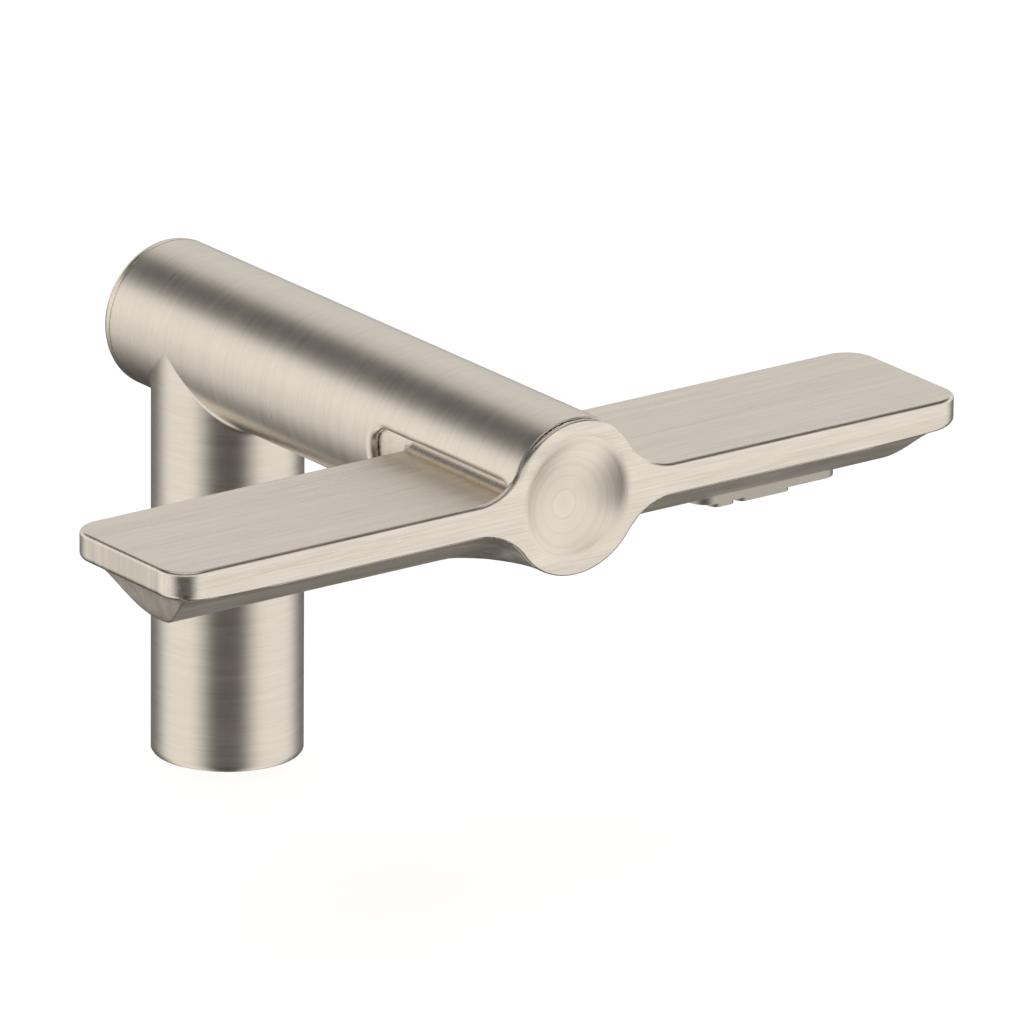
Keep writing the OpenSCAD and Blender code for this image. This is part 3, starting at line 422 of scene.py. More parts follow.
def grille_form(x, y, z):
    """The left wing's air grille, set a little into the keel's bottom"""
    face = keel_drop(x, y) + GRILLE_INSET
    body = strip_outline(x, y, OUTLET_L, OUTLET_W, -1)
    body = np.maximum(body, np.maximum(face - z, z - GRILLE_TOP))
    slot = np.abs(np.mod(x, SLOT_PITCH) - SLOT_PITCH / 2) - SLOT_HALF_W
    slot = np.maximum(slot, np.abs(y - MID_Y) - SLOT_HALF_L)
    slot = np.maximum(slot, np.abs(x + OUTLET_X) - (OUTLET_L / 2 - SLOT_MARGIN))
    return round_cut(body, -np.maximum(slot, z - face - SLOT_DEPTH), SLOT_EDGE_R)


# Meshes

def ticks(*spans):
    """Grid lines from (start, stop, step) spans, a little off the round numbers of flat faces"""
    parts = [np.linspace(a, b, max(2, int(round((b - a) / step)) + 1)) for a, b, step in spans]
    return np.unique(np.round(np.concatenate(parts), 4)) + 0.037


def skin(field, xs, ys, zs):
    """Points, four-sided faces and normals of the surface where field is zero"""
    grid = np.meshgrid(*(g.astype(np.float32) for g in (xs, ys, zs)), indexing="ij")
    level = field(*grid)
    inside = level < 0
    lines = (xs, ys, zs)
    cells = [len(g) - 1 for g in lines]
    total = np.zeros((int(np.prod(cells)), 3))
    count = np.zeros(int(np.prod(cells)))
    loops = []
    for axis in range(3):
        u, v = (axis + 1) % 3, (axis + 2) % 3
        near = [slice(None)] * 3
        far = [slice(None)] * 3
        near[axis], far[axis] = slice(None, -1), slice(1, None)
        crossed = np.argwhere(inside[tuple(near)] != inside[tuple(far)])
        across = crossed.copy()
        across[:, axis] += 1
        a = level[tuple(crossed.T)].astype(float)
        b = level[tuple(across.T)].astype(float)
        share = a / (a - b)
        point = np.stack([lines[k][crossed[:, k]] for k in range(3)], axis=1)
        point[:, axis] += share * (lines[axis][across[:, axis]] - lines[axis][crossed[:, axis]])
        ring = []
        for du, dv in ((-1, -1), (0, -1), (0, 0), (-1, 0)):
            cell = crossed.copy()
            cell[:, u] += du
            cell[:, v] += dv
            flat = np.ravel_multi_index(tuple(cell.T), cells)
            for k in range(3):
                total[:, k] += np.bincount(flat, point[:, k], len(total))
            count += np.bincount(flat, minlength=len(count))
            ring.append(flat)
        ring = np.stack(ring, axis=1)
        ring[a >= 0] = ring[a >= 0][:, ::-1]
        loops.append(ring)
    used = np.flatnonzero(count)
    index = np.full(len(count), -1)
    index[used] = np.arange(len(used))
    faces = index[np.concatenate(loops)]
    points = total[used] / count[used][:, None]

    def slope(p, h):
        steps = np.eye(3) * h
        return np.stack([(field(*(p + s).T) - field(*(p - s).T)) / (2 * h) for s in steps], axis=1)

    for _ in range(4):
        g = slope(points, 0.01)
        move = -field(*points.T)[:, None] * g / np.maximum((g * g).sum(1), 0.05)[:, None]
        points += np.clip(move, -0.3, 0.3)
    normals = slope(points, 0.05)
    normals /= np.maximum(np.linalg.norm(normals, axis=1), 1e-6)[:, None]
    return points, faces, normals


def new_object(name, data):
    """An object in the scene that shows this data"""
    made = bpy.data.objects.new(name, data)
    bpy.context.scene.collection.objects.link(made)
    return made


def object_from(name, points, faces, normals, lift):
    """A mesh object in metres from points in millimetres, smooth with the given normals"""
    mesh = bpy.data.meshes.new(name)
    points = (points + (0, 0, lift)) * MM
    corners = faces.ravel()
    mesh.vertices.add(len(points))
    mesh.vertices.foreach_set("co", points.astype(np.float32).ravel())
    mesh.loops.add(len(corners))
    mesh.loops.foreach_set("vertex_index", corners.astype(np.int32))
    mesh.polygons.add(len(faces))
    mesh.polygons.foreach_set("loop_start", np.arange(0, len(corners), 4, dtype=np.int32))
    mesh.update(calc_edges=True)
    mesh.validate()
    mesh.polygons.foreach_set("use_smooth", np.ones(len(mesh.polygons), bool))
    if len(mesh.vertices) == len(normals):
        mesh.normals_split_custom_set_from_vertices(normals.astype(np.float32))
    return new_object(name, mesh)


def skin_piece(name, form, sizes, *grid):
    """The surface of a form as an object, lifted to the barrel's axis"""
    return object_from(name, *skin(form, *grid), sizes["barrel_height"])


# Sums in node trees, for shapes and finishes that follow a rule

class Term:
    """A number that varies over a mesh or a surface, as a socket of a node tree"""

    def __init__(self, tree, socket):
        self.tree = tree
        self.socket = socket

    def join(self, operation, *others, clamp=False):
        return calculate(self.tree, operation, self, *others, clamp=clamp)

    def __add__(self, other):
        return self.join("ADD", other)

    __radd__ = __add__

    def __sub__(self, other):
        return self.join("SUBTRACT", other)

    def __rsub__(self, other):
        return calculate(self.tree, "SUBTRACT", other, self)

    def __mul__(self, other):
        return self.join("MULTIPLY", other)

    __rmul__ = __mul__

    def __truediv__(self, other):
        return self.join("DIVIDE", other)

    def clamped(self):
        return self.join("ADD", 0.0, clamp=True)


def plug(tree, slot, item):
    """Gives an input a term, a socket or a plain value"""
    item = item.socket if isinstance(item, Term) else item
    if isinstance(item, bpy.types.NodeSocket):
        tree.links.new(item, slot)
    else:
        slot.default_value = item


def add_node(tree, kind, **items):
    """A new node with its inputs given by name, _ standing for a blank"""
    node = tree.nodes.new(kind)
    for label, item in items.items():
        plug(tree, node.inputs[label.replace("_", " ")], item)
    return node


def calculate(tree, operation, *items, clamp=False):
    """One math node fed by terms or plain numbers"""
    node = tree.nodes.new("ShaderNodeMath")
    node.operation = operation
    node.use_clamp = clamp
    for slot, item in zip(node.inputs, items):
        plug(tree, slot, item)
    return Term(tree, node.outputs[0])


def split_xyz(tree, socket):
    """The three parts of a vector as terms"""
    node = add_node(tree, "ShaderNodeSeparateXYZ", Vector=socket)
    return [Term(tree, out) for out in node.outputs]


def join_xyz(tree, x, y, z):
    """A vector socket made of terms or plain numbers"""
    return add_node(tree, "ShaderNodeCombineXYZ", X=x, Y=y, Z=z).outputs[0]


# Geometry Nodes

def shape_tree(name, sizes):
    """A geometry tree with one named input for each size, its inputs, and the sizes as terms"""
    tree = bpy.data.node_groups.new(name, "GeometryNodeTree")
    for label, default in sizes:
        kind = "NodeSocketInt" if isinstance(default, int) else "NodeSocketFloat"
        tree.interface.new_socket(label, in_out="INPUT", socket_type=kind).default_value = default
    tree.interface.new_socket("Finish", in_out="INPUT", socket_type="NodeSocketMaterial")
    tree.interface.new_socket("Geometry", in_out="OUTPUT", socket_type="NodeSocketGeometry")
    given = tree.nodes.new("NodeGroupInput")
    return tree, given, *(Term(tree, given.outputs[label]) for label, _ in sizes)


def parameter_sheet(tree, around, along):
    """A flat grid whose two directions stand for the turn about an axis and the way along it"""
    grid = add_node(tree, "GeometryNodeMeshGrid", Size_X=1, Size_Y=1,
                    Vertices_X=around, Vertices_Y=along)
    place = tree.nodes.new("GeometryNodeInputPosition")
    u, v, _ = split_xyz(tree, place.outputs[0])
    return grid.outputs["Mesh"], (u + 0.5) * (2 * math.pi), v + 0.5


def span_of(along, start, stop):
    """0 before start, 1 after stop and even between them"""
    return ((along - start) / (stop - start)).clamped()


def bent_sheet(tree, given, sheet, place):
    """Moves the sheet's points to their places, closes its seam and ends the tree"""
    move = add_node(tree, "GeometryNodeSetPosition", Geometry=sheet, Position=place)
    weld = add_node(tree, "GeometryNodeMergeByDistance", Geometry=move.outputs[0], Distance=2e-6)
    smooth = add_node(tree, "GeometryNodeSetShadeSmooth", Geometry=weld.outputs[0])
    end_tree(tree, given, smooth.outputs[0])


def end_tree(tree, given, geometry):
    """Turns instances into plain mesh, sets the finish and hands the mesh out"""
    real = add_node(tree, "GeometryNodeRealizeInstances", Geometry=geometry)
    finish = add_node(tree, "GeometryNodeSetMaterial", Geometry=real.outputs[0],
                      Material=given.outputs["Finish"])
    add_node(tree, "NodeGroupOutput", Geometry=finish.outputs[0])


def grown(name, tree, values, finish, crease=40):
    """The plain mesh that a geometry tree makes from these values"""
    seed = new_object(name + "_seed", bpy.data.meshes.new(name + "_seed"))
    modifier = seed.modifiers.new("Shape", "NODES")
    modifier.node_group = tree
    for item in tree.interface.items_tree:
        if item.in_out == "INPUT" and item.name in values:
            modifier[item.identifier] = values[item.name]
        elif item.in_out == "INPUT" and item.name == "Finish":
            modifier[item.identifier] = finish
    ready = seed.evaluated_get(bpy.context.evaluated_depsgraph_get())
    mesh = bpy.data.meshes.new_from_object(ready)
    seed.modifiers.remove(modifier)
    bpy.data.objects.remove(seed)
    if not mesh.polygons:
        raise RuntimeError(f"the tree {tree.name} made no faces")
    mesh.name = name
    mesh.set_sharp_from_angle(angle=math.radians(crease))
    return new_object(name, mesh)


def stem_tree():
    """A tube on the deck whose top is coped to the barrel and flares into it with a fillet"""
    tree, given, radius, bore, axis, fillet = shape_tree("Coped stem", (
        ("Radius", 24.0), ("Bore", 22.0), ("Axis height", 135.0), ("Fillet", 2.2)))
    sheet, angle, along = parameter_sheet(tree, 193, 121)
    cos_a = calculate(tree, "COSINE", angle)
    sin_a = calculate(tree, "SINE", angle)
    lift = calculate(tree, "ABSOLUTE", sin_a)
    inner = span_of(along, 0, 0.08)
    rim = span_of(along, 0.08, 0.105)
    wall = span_of(along, 0.105, 0.8)
    flare = span_of(along, 0.8, 0.995) * 1.04
    centre = radius + fillet
    top = axis - centre * lift
    opening = calculate(tree, "ARCCOSINE", cos_a * cos_a * 0.999998)
    whole = calculate(tree, "SINE", opening)
    first = calculate(tree, "SINE", opening * (1 - flare)) / whole
    second = calculate(tree, "SINE", opening * flare) / whole
    body = bore + (radius - bore) * rim + fillet
    x = cos_a * (body - fillet * (first + second))
    y = sin_a * (body - fillet * first)
    z = (1 - inner) * 60 + top * wall + fillet * second * lift
    bent_sheet(tree, given, sheet, join_xyz(tree, x * MM, y * MM, z * MM))
    return tree


def cap_tree():
    """The barrel's closed end, turned about the barrel's axis from a rounded profile"""
    tree, given, radius, rounding, thickness, start, axis = shape_tree("Turned cap", (
        ("Radius", 24.0), ("Rounding", CAP_ROUND), ("Thickness", CAP_T), ("Start", BARREL_BACK),
        ("Axis height", 135.0)))
    sheet, angle, along = parameter_sheet(tree, 193, 61)
    joint = span_of(along, 0, 0.1)
    wall = span_of(along, 0.1, 0.2)
    turn = span_of(along, 0.2, 0.6) * (math.pi / 2)
    face = span_of(along, 0.6, 0.99)
    cos_t = calculate(tree, "COSINE", turn)
    sin_t = calculate(tree, "SINE", turn)
    chamfer = 0.15
    reach = (radius - rounding + rounding * cos_t - chamfer * (1 - joint)) * (1 - face)
    depth = start + chamfer * joint + (thickness - rounding - chamfer) * wall + rounding * sin_t
    x = reach * calculate(tree, "COSINE", angle)
    z = axis - reach * calculate(tree, "SINE", angle)
    bent_sheet(tree, given, sheet, join_xyz(tree, x * MM, depth * MM, z * MM))
    return tree


WEB_T = 0.14


def honeycomb_tree():
    """Thin hexagonal cells side by side inside a round outlet, with a ring about them"""
    tree, given, radius, cell, depth, bottom, centre = shape_tree("Honeycomb", (
        ("Radius", 7.6), ("Cell", 1.5), ("Depth", 3.0), ("Bottom", 113.0), ("Centre", AERATOR_Y)))
    count = 13
    grid = add_node(tree, "GeometryNodeMeshGrid", Size_X=count - 1, Size_Y=count - 1,
                    Vertices_X=count, Vertices_Y=count)
    place = tree.nodes.new("GeometryNodeInputPosition")
    column, row, _ = split_xyz(tree, place.outputs[0])
    shift = calculate(tree, "PINGPONG", row, 1.0) * 0.5
    x = (column + shift) * cell
    y = row * cell * math.sin(math.pi / 3)
    move = add_node(tree, "GeometryNodeSetPosition", Geometry=grid.outputs["Mesh"],
                    Position=join_xyz(tree, x, y, 0.0))
    spread = tree.nodes.new("GeometryNodeInputPosition")
    px, py, _ = split_xyz(tree, spread.outputs[0])
    away = calculate(tree, "SQRT", px * px + py * py)
    outside = away.join("GREATER_THAN", radius - cell * 0.5)
    drop = add_node(tree, "GeometryNodeDeleteGeometry", Geometry=move.outputs[0],
                    Selection=outside)
    drop.domain = "POINT"
    points = add_node(tree, "GeometryNodeMeshToPoints", Mesh=drop.outputs[0])

    def band(sides, ring_radius, turn):
        ring = add_node(tree, "GeometryNodeCurvePrimitiveCircle", Resolution=sides,
                        Radius=ring_radius)
        section = add_node(tree, "GeometryNodeCurvePrimitiveQuadrilateral", Width=WEB_T,
                           Height=depth)
        sweep = add_node(tree, "GeometryNodeCurveToMesh", Curve=ring.outputs["Curve"],
                         Profile_Curve=section.outputs["Curve"])
        return add_node(tree, "GeometryNodeTransform", Geometry=sweep.outputs[0],
                        Rotation=(0, 0, turn)).outputs[0]

    cells = add_node(tree, "GeometryNodeInstanceOnPoints", Points=points.outputs[0],
                     Instance=band(6, cell * 0.56, math.pi / 6))
    both = tree.nodes.new("GeometryNodeJoinGeometry")
    tree.links.new(cells.outputs[0], both.inputs[0])
    tree.links.new(band(64, radius, 0.0), both.inputs[0])
    put = add_node(tree, "GeometryNodeTransform", Geometry=both.outputs[0], Scale=(MM, MM, MM),
                   Translation=join_xyz(tree, 0.0, centre * MM, (bottom + depth * 0.5) * MM))
    end_tree(tree, given, put.outputs[0])
    return tree


# Shared shader groups

def effect_group(name, inputs):
    """A shader group with these inputs, for a colour, a roughness and a height"""
    tree = bpy.data.node_groups.new(name, "ShaderNodeTree")
    for label, kind, default in inputs:
        made = tree.interface.new_socket(label, in_out="INPUT", socket_type="NodeSocket" + kind)
        if default is not None:
            made.default_value = default
    for label, kind in (("Colour", "Color"), ("Roughness", "Float"), ("Height", "Float")):
        tree.interface.new_socket(label, in_out="OUTPUT", socket_type="NodeSocket" + kind)
    return tree, tree.nodes.new("NodeGroupInput").outputs


def end_effect(tree, given, tint, rough, height):
    """Hands out the given colour made lighter or darker by tint, the roughness and the height"""
    add_node(tree, "NodeGroupOutput", Colour=scaled(tree, given["Colour"], tint + 1.0),
             Roughness=rough.clamped(), Height=height)
    return tree


def noise(tree, vector, scale, detail=2.0, roughness=0.5):
    """Smooth random values between 0 and 1"""
    node = add_node(tree, "ShaderNodeTexNoise", Vector=vector, Scale=scale, Detail=detail,
                    Roughness=roughness)
    return Term(tree, node.outputs[0])


def scaled(tree, vector, factor):
    """A vector or a colour times a factor"""
    node = tree.nodes.new("ShaderNodeVectorMath")
    node.operation = "SCALE"
    plug(tree, node.inputs[0], vector)
    plug(tree, node.inputs["Scale"], factor)
    return node.outputs[0]


def brushed_group():
    """Fine lines left by a brush, with the slow clouding of a satin finish"""
    tree, given = effect_group(
        "Brushed lines",
        (("Lines", "Vector", None), ("Place", "Vector", None), ("Colour", "Color", None),
         ("Roughness", "Float", 0.3), ("Strength", "Float", 0.5)))
    strength = Term(tree, given["Strength"])
    fine = noise(tree, given["Lines"], 1.0, 3.0, 0.6) - 0.5
    broad = noise(tree, given["Lines"], 0.23, 1.0) - 0.5
    cloud = noise(tree, given["Place"], 28.0, 2.0) - 0.5
    line = fine * 0.75 + broad * 0.45
    rough = Term(tree, given["Roughness"]) + line * strength * 0.45 + cloud * 0.05
    tint = line * strength * 1.3 + cloud * 0.03
    return end_effect(tree, given, tint, rough, line * strength)


def speckle_group():
    """Even fine grain with faint marks, for cast, moulded and wound pieces"""
    tree, given = effect_group(
        "Fine grain",
        (("Place", "Vector", None), ("Colour", "Color", None), ("Roughness", "Float", 0.5),
         ("Grain", "Float", 900.0), ("Strength", "Float", 0.3)))
    strength = Term(tree, given["Strength"])
    grain = noise(tree, scaled(tree, given["Place"], given["Grain"]), 1.0, 2.0) - 0.5
    cloud = noise(tree, given["Place"], 60.0, 2.0) - 0.5
    rough = Term(tree, given["Roughness"]) + grain * strength * 0.3 + cloud * 0.1
    return end_effect(tree, given, grain * strength + cloud * 0.12, rough, grain * strength)


# Materials

def new_material(name):
    """A material with its node tree and its shader"""
    made = bpy.data.materials.new(name)
    made.use_nodes = True
    tree = made.node_tree
    shader = next(n for n in tree.nodes if n.type == "BSDF_PRINCIPLED")
    return made, tree, shader


def place_group(tree, group, colour, **values):
    """A shared effect placed in a material's tree, with its colour and values"""
    node = tree.nodes.new("ShaderNodeGroup")
    node.node_tree = group
    node.inputs["Colour"].default_value = (*colour, 1)
    for label, value in values.items():
        node.inputs[label.capitalize()].default_value = value
    return node


def feed(tree, group, shader, bump):
    """Links a group's colour, roughness and height to the shader"""
    tree.links.new(group.outputs["Colour"], shader.inputs["Base Color"])
    tree.links.new(group.outputs["Roughness"], shader.inputs["Roughness"])
    relief = add_node(tree, "ShaderNodeBump", Strength=bump, Distance=0.00005,
                      Height=group.outputs["Height"])
    tree.links.new(relief.outputs["Normal"], shader.inputs["Normal"])


def object_place(tree):
    """The place on the object in metres"""
    return tree.nodes.new("ShaderNodeTexCoord").outputs["Object"]


def brushed_metal(name, group, finish, lines_along, tangent, rougher=0.0, strong=1.0):
    """Brushed nickel whose lines run as lines_along(tree, place) says"""
    made, tree, shader = new_material(name)
    place = object_place(tree)
    node = place_group(tree, group, finish.nickel, strength=finish.streaks * strong,
                       roughness=finish.nickel_roughness + rougher)
    tree.links.new(lines_along(tree, place), node.inputs["Lines"])
    tree.links.new(place, node.inputs["Place"])
    shader.inputs["Metallic"].default_value = 1.0
    shader.inputs["Anisotropic"].default_value = 0.45
    tree.links.new(tangent(tree, place), shader.inputs["Tangent"])
    feed(tree, node, shader, 0.15)
    return made


def stretched(sx, sy, sz):
    """Lines along the direction with the smallest number"""
    def build(tree, place):
        x, y, z = split_xyz(tree, place)
        return join_xyz(tree, x * sx, y * sy, z * sz)
    return build


# Places in metres that the wings' finish goes by, and lines for each metre

DISH_AXIS_Z = 0.1338
DISH_REACH = 0.0196
DISH_BACK = -0.1765
RINGS_ASIDE = 0.002
RINGS_LOWER = 0.0025
END_FACE = 0.1484
LINES = 1500
FINE_LINES = 2200


def dish_mask(tree, place):
    """1 inside the hub's dish, the distance from the middle of its rings, and the place"""
    x, y, z = split_xyz(tree, place)
    rise = z - DISH_AXIS_Z
    aside, lower = x + RINGS_ASIDE, rise + RINGS_LOWER
    away = calculate(tree, "SQRT", aside * aside + lower * lower)
    reach = calculate(tree, "SQRT", x * x + rise * rise)
    in_dish = reach.join("LESS_THAN", DISH_REACH) * y.join("LESS_THAN", DISH_BACK)
    return in_dish, away, x, y, z, rise


def hub_lines(tree, place):
    """Lines along the wings, upright lines on their end faces and rings inside the dish"""
    in_dish, away, x, y, z, _ = dish_mask(tree, place)
    keep = 1 - in_dish
    end = calculate(tree, "ABSOLUTE", x).join("GREATER_THAN", END_FACE)
    return join_xyz(tree, x * 50 * keep + away * FINE_LINES * in_dish, y * LINES * keep,
                    z * LINES * keep * (1 - end * 0.97))


def along_axis(x, y, z):
    """The same tangent everywhere"""
    def build(tree, _place):
        return join_xyz(tree, x, y, z)
    return build


def hub_tangent(tree, place):
    """Square to the lines along the wings, and from the middle outward in the dish"""
    in_dish, _, x, _, _, rise = dish_mask(tree, place)
    node = tree.nodes.new("ShaderNodeMix")
    node.data_type = "VECTOR"
    tree.links.new(in_dish.socket, node.inputs["Factor"])
    tree.links.new(across_lines(tree, place), node.inputs[4])
    tree.links.new(join_xyz(tree, x * 50 + 0.001, 0.0, rise * 50), node.inputs[5])
    return node.outputs[1]


def across_lines(tree, _place):
    """The surface's own direction square to lines that run along X"""
    normal = tree.nodes.new("ShaderNodeNewGeometry")
    node = tree.nodes.new("ShaderNodeVectorMath")
    node.operation = "CROSS_PRODUCT"
    tree.links.new(normal.outputs["Normal"], node.inputs[0])
    node.inputs[1].default_value = (1, 0.02, 0.013)
    return node.outputs[0]


def plain_finish(name, group, colour, metallic, roughness, grain, strength, bump, coat=0.0):
    """A finish without a direction, with a fine grain"""
    made, tree, shader = new_material(name)
    node = place_group(tree, group, colour, roughness=roughness, grain=grain, strength=strength)
    tree.links.new(object_place(tree), node.inputs["Place"])
    shader.inputs["Metallic"].default_value = metallic
    shader.inputs["Coat Weight"].default_value = coat
    feed(tree, node, shader, bump)
    return made


# Finish: name, where its lines lie, its tangent, what is added to its roughness, its lines' share
BRUSHED = {
    "wing": ("brushed_nickel_wings", hub_lines, hub_tangent),
    "keel": ("brushed_nickel_keels", stretched(50, LINES, LINES), across_lines, 0.14),
    "barrel": ("brushed_nickel_barrel", stretched(90, FINE_LINES, 90), along_axis(0, 1, 0), 0.0,
               0.55),
    "stem": ("brushed_nickel_stem", stretched(90, 90, FINE_LINES), along_axis(0, 0, 1), 0.0, 0.5),
    "cap": ("brushed_nickel_cap", stretched(28, LINES, LINES), along_axis(0, 0, 1)),
}
# Slot: name, colour, metallic, roughness, grain for each metre, its strength, bump and coat
PLAIN_FINISHES = {
    "steel": ("stainless_steel", (0.62, 0.61, 0.59), 1, 0.28, 1500, 0.2, 0.1),
    "plunger_steel": ("plunger_steel", (0.5, 0.5, 0.5), 1, 0.35, 1200, 0.25, 0.15),
    "brass": ("turned_brass", (0.72, 0.53, 0.22), 1, 0.3, 1300, 0.2, 0.12),
    "copper": ("drawn_copper", (0.78, 0.38, 0.22), 1, 0.32, 1100, 0.25, 0.12),
    "winding": ("varnished_winding", (0.45, 0.16, 0.06), 0.7, 0.35, 2400, 0.5, 0.6),
    "dark_plastic": ("dark_moulding", (0.03, 0.033, 0.037), 0, 0.48, 1800, 0.4, 0.35),
    "pale_plastic": ("pale_moulding", (0.5, 0.51, 0.52), 0, 0.45, 1700, 0.15, 0.3),
    "rubber": ("black_rubber", (0.012, 0.012, 0.013), 0, 0.7, 1400, 0.5, 0.5),
    "sensor_window": ("sensor_window", (0.012, 0.004, 0.01), 0, 0.12, 900, 0.2, 0.02, 0.6),
    "board": ("circuit_board", (0.02, 0.11, 0.045), 0, 0.4, 700, 0.35, 0.25, 0.3),
}
MATERIALS = {}


def make_materials(finish):
    """Fills MATERIALS with every finish"""
    brushed = brushed_group()
    grain = speckle_group()
    for key, (name, *values) in BRUSHED.items():
        MATERIALS[key] = brushed_metal(name, brushed, finish, *values)
    # The nickel slot gets the brushed nickel's colour darkened to 0.6, which is painted shade, on
    # a rougher satin finish.
    painted_shade_tones = [tone * 0.6 for tone in finish.nickel]
    MATERIALS["nickel"] = plain_finish("satin_nickel", grain, painted_shade_tones, 1, 0.38, 1600, 0.15, 0.1)
    for slot, (name, *values) in PLAIN_FINISHES.items():
        MATERIALS[slot] = plain_finish(name, grain, *values)


def dress(piece, key, *nodes):
    """Gives a piece its finish and body, and puts it in the place of its nodes"""
    piece.data.materials.clear()
    piece.data.materials.append(MATERIALS[key])
    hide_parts(*nodes)
    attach(piece, BODY)


# Operators

def sizes_in_mm(context):
    """The tap's changeable sizes by name"""
    group = context.scene.tap_sizes
    return {name: getattr(group, name) / MM for name in group.__annotations__}


class TAP_OT_materials(bpy.types.Operator):
    """Makes every finish and puts them on the CAD nodes that stay in view"""

    bl_idname = "tap.materials"
    bl_label = "Finishes"

    def execute(self, context):
        make_materials(context.scene.tap_finish)
        for part in frame["record"]["subparts"]:
            mesh = frame["nodes"][part["node"]].data
            mesh.materials.clear()
            mesh.materials.append(MATERIALS[part["material_slot"]])
        return {"FINISHED"}


class TAP_OT_casting(bpy.types.Operator):
    """Makes the wings and hub as one casting with rounded edges and fillets"""

    bl_idname = "tap.casting"
    bl_label = "Wings and hub"

    def execute(self, context):
        sizes = sizes_in_mm(context)
        fine = sizes["mesh_step"]
        xs = ticks((-150, -131, fine), (-131, -42, 1.5), (-42, 42, fine), (42, 131, 1.5),
                   (131, 150, fine))
        ys = ticks((-185, -176, 0.4), (-176, -131, 1.3), (-131, -122.5, 0.45), (-122.5, -111, 1),
                   (-111, -106.5, 0.5))
        zs = ticks((-27, -9, 0.8), (-9, 5, 0.45), (5, 25.5, 0.6))
        piece = skin_piece("wing_casting", partial(casting_form, sizes=sizes), sizes, xs, ys, zs)
        dress(piece, "wing", "front_casting")
        return {"FINISHED"}


class TAP_OT_keels(bpy.types.Operator):
    """Makes the two keel shells under the wings"""

    bl_idname = "tap.keels"
    bl_label = "Keels"

    def execute(self, context):
        sizes = sizes_in_mm(context)
        for side, name in ((-1, "left_keel"), (1, "right_keel")):
            xs = np.sort(side * ticks((2, 42, 0.6), (42, 112, 1), (112, 150, 0.5)))
            ys = ticks((-185, -125, 0.75))
            zs = ticks((-28, -3, 0.6))
            piece = skin_piece(name + "_shell", partial(keel_form, side=side), sizes, xs, ys, zs)
            dress(piece, "keel", name)
        return {"FINISHED"}


class TAP_OT_barrel(bpy.types.Operator):
    """Makes the barrel with its two side windows and the holes in its underside"""

    bl_idname = "tap.barrel"
    bl_label = "Barrel"

    def execute(self, context):
        sizes = sizes_in_mm(context)
        xs = ticks((-24.6, 24.6, 0.75))
        zs = ticks((-24.6, -13, 0.75), (-13, -9, 0.5), (-9, 3, 0.75), (3, 10, 0.4),
                   (10, 24.6, 0.75))
        ys = ticks((-183, -104, 0.5), (-104, 28, 3), (28, 31, 0.4))
        piece = skin_piece("barrel_skin", partial(barrel_form, sizes=sizes), sizes, xs, ys, zs)
        dress(piece, "barrel", "barrel_tube")
        return {"FINISHED"}


class TAP_OT_gasket(bpy.types.Operator):
    """Makes the seal between hub and barrel"""

    bl_idname = "tap.gasket"
    bl_label = "Hub seal"

    def execute(self, context):
        sizes = sizes_in_mm(context)
        xs = ticks((-24.6, 24.6, 0.5))
        ys = ticks((-182.6, -181.4, 0.2))
        piece = skin_piece("hub_seal", partial(gasket_form, sizes=sizes), sizes, xs, ys, xs)
        dress(piece, "rubber", "hub_gasket")
        return {"FINISHED"}


class TAP_OT_grille(bpy.types.Operator):
    """Makes the air grille of the left wing"""

    bl_idname = "tap.grille"
    bl_label = "Left air grille"

    def execute(self, context):
        xs = ticks((-119, -63, 0.4))
        ys = ticks((MID_Y - 7, MID_Y + 7, 0.4))
        zs = ticks((-23, -15.5, 0.3))
        piece = skin_piece("left_grille", grille_form, sizes_in_mm(context), xs, ys, zs)
        dress(piece, "dark_plastic", "left_air_outlet")
        return {"FINISHED"}


class TAP_OT_stem(bpy.types.Operator):
    """Grows the stem from the deck up to the barrel, and the barrel's turned end"""

    bl_idname = "tap.stem"
    bl_label = "Stem and cap"

    def execute(self, context):
        sizes = sizes_in_mm(context)
        stem = grown("stem_skin", stem_tree(), {
            "Radius": sizes["tube_radius"], "Bore": sizes["tube_radius"] - WALL,
            "Axis height": sizes["barrel_height"], "Fillet": sizes["weld_radius"]},
            MATERIALS["stem"])
        dress(stem, "stem", "stem_tube")
        cap = grown("rear_cap_skin", cap_tree(), {
            "Radius": sizes["tube_radius"], "Rounding": CAP_ROUND, "Thickness": CAP_T,
            "Start": BARREL_BACK, "Axis height": sizes["barrel_height"]}, MATERIALS["cap"])
        dress(cap, "cap", "rear_cap")
        return {"FINISHED"}


class TAP_OT_outlet(bpy.types.Operator):
    """Fills the water outlet with a fine honeycomb"""

    bl_idname = "tap.outlet"
    bl_label = "Water outlet"

    def execute(self, context):
        low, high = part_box("aerator_screen")
        piece = grown("aerator_honeycomb", honeycomb_tree(), {
            "Radius": (high.x - low.x) / 2 / MM - 0.1, "Cell": 1.5,
            "Depth": (high.z - low.z) / MM - 0.2, "Bottom": low.z / MM + 0.1,
            "Centre": (low.y + high.y) / 2 / MM}, MATERIALS["steel"])
        dress(piece, "steel", "aerator_screen")
        return {"FINISHED"}


class TAP_OT_stage(bpy.types.Operator):
    """Makes the floor, the light all round and the camera"""

    bl_idname = "tap.stage"
    bl_label = "Studio"

    def execute(self, context):
        make_floor(context.scene.tap_finish)
        make_light(context.scene)
        context.scene.view_settings.view_transform = "Standard"
        make_camera(context.scene)
        return {"FINISHED"}


class TAP_PT_panel(bpy.types.Panel):
    """Lists the tap's pieces, sizes and finishes"""

    bl_idname = "TAP_PT_panel"
    bl_label = "Dryer tap"
    bl_space_type = "VIEW_3D"
    bl_region_type = "UI"
    bl_category = "Tap"

    def draw(self, context):
        for group in (context.scene.tap_sizes, context.scene.tap_finish):
            box = self.layout.box()
            for name in group.__annotations__:
                box.prop(group, name)
        for operator in OPERATORS:
            self.layout.operator(operator.bl_idname)


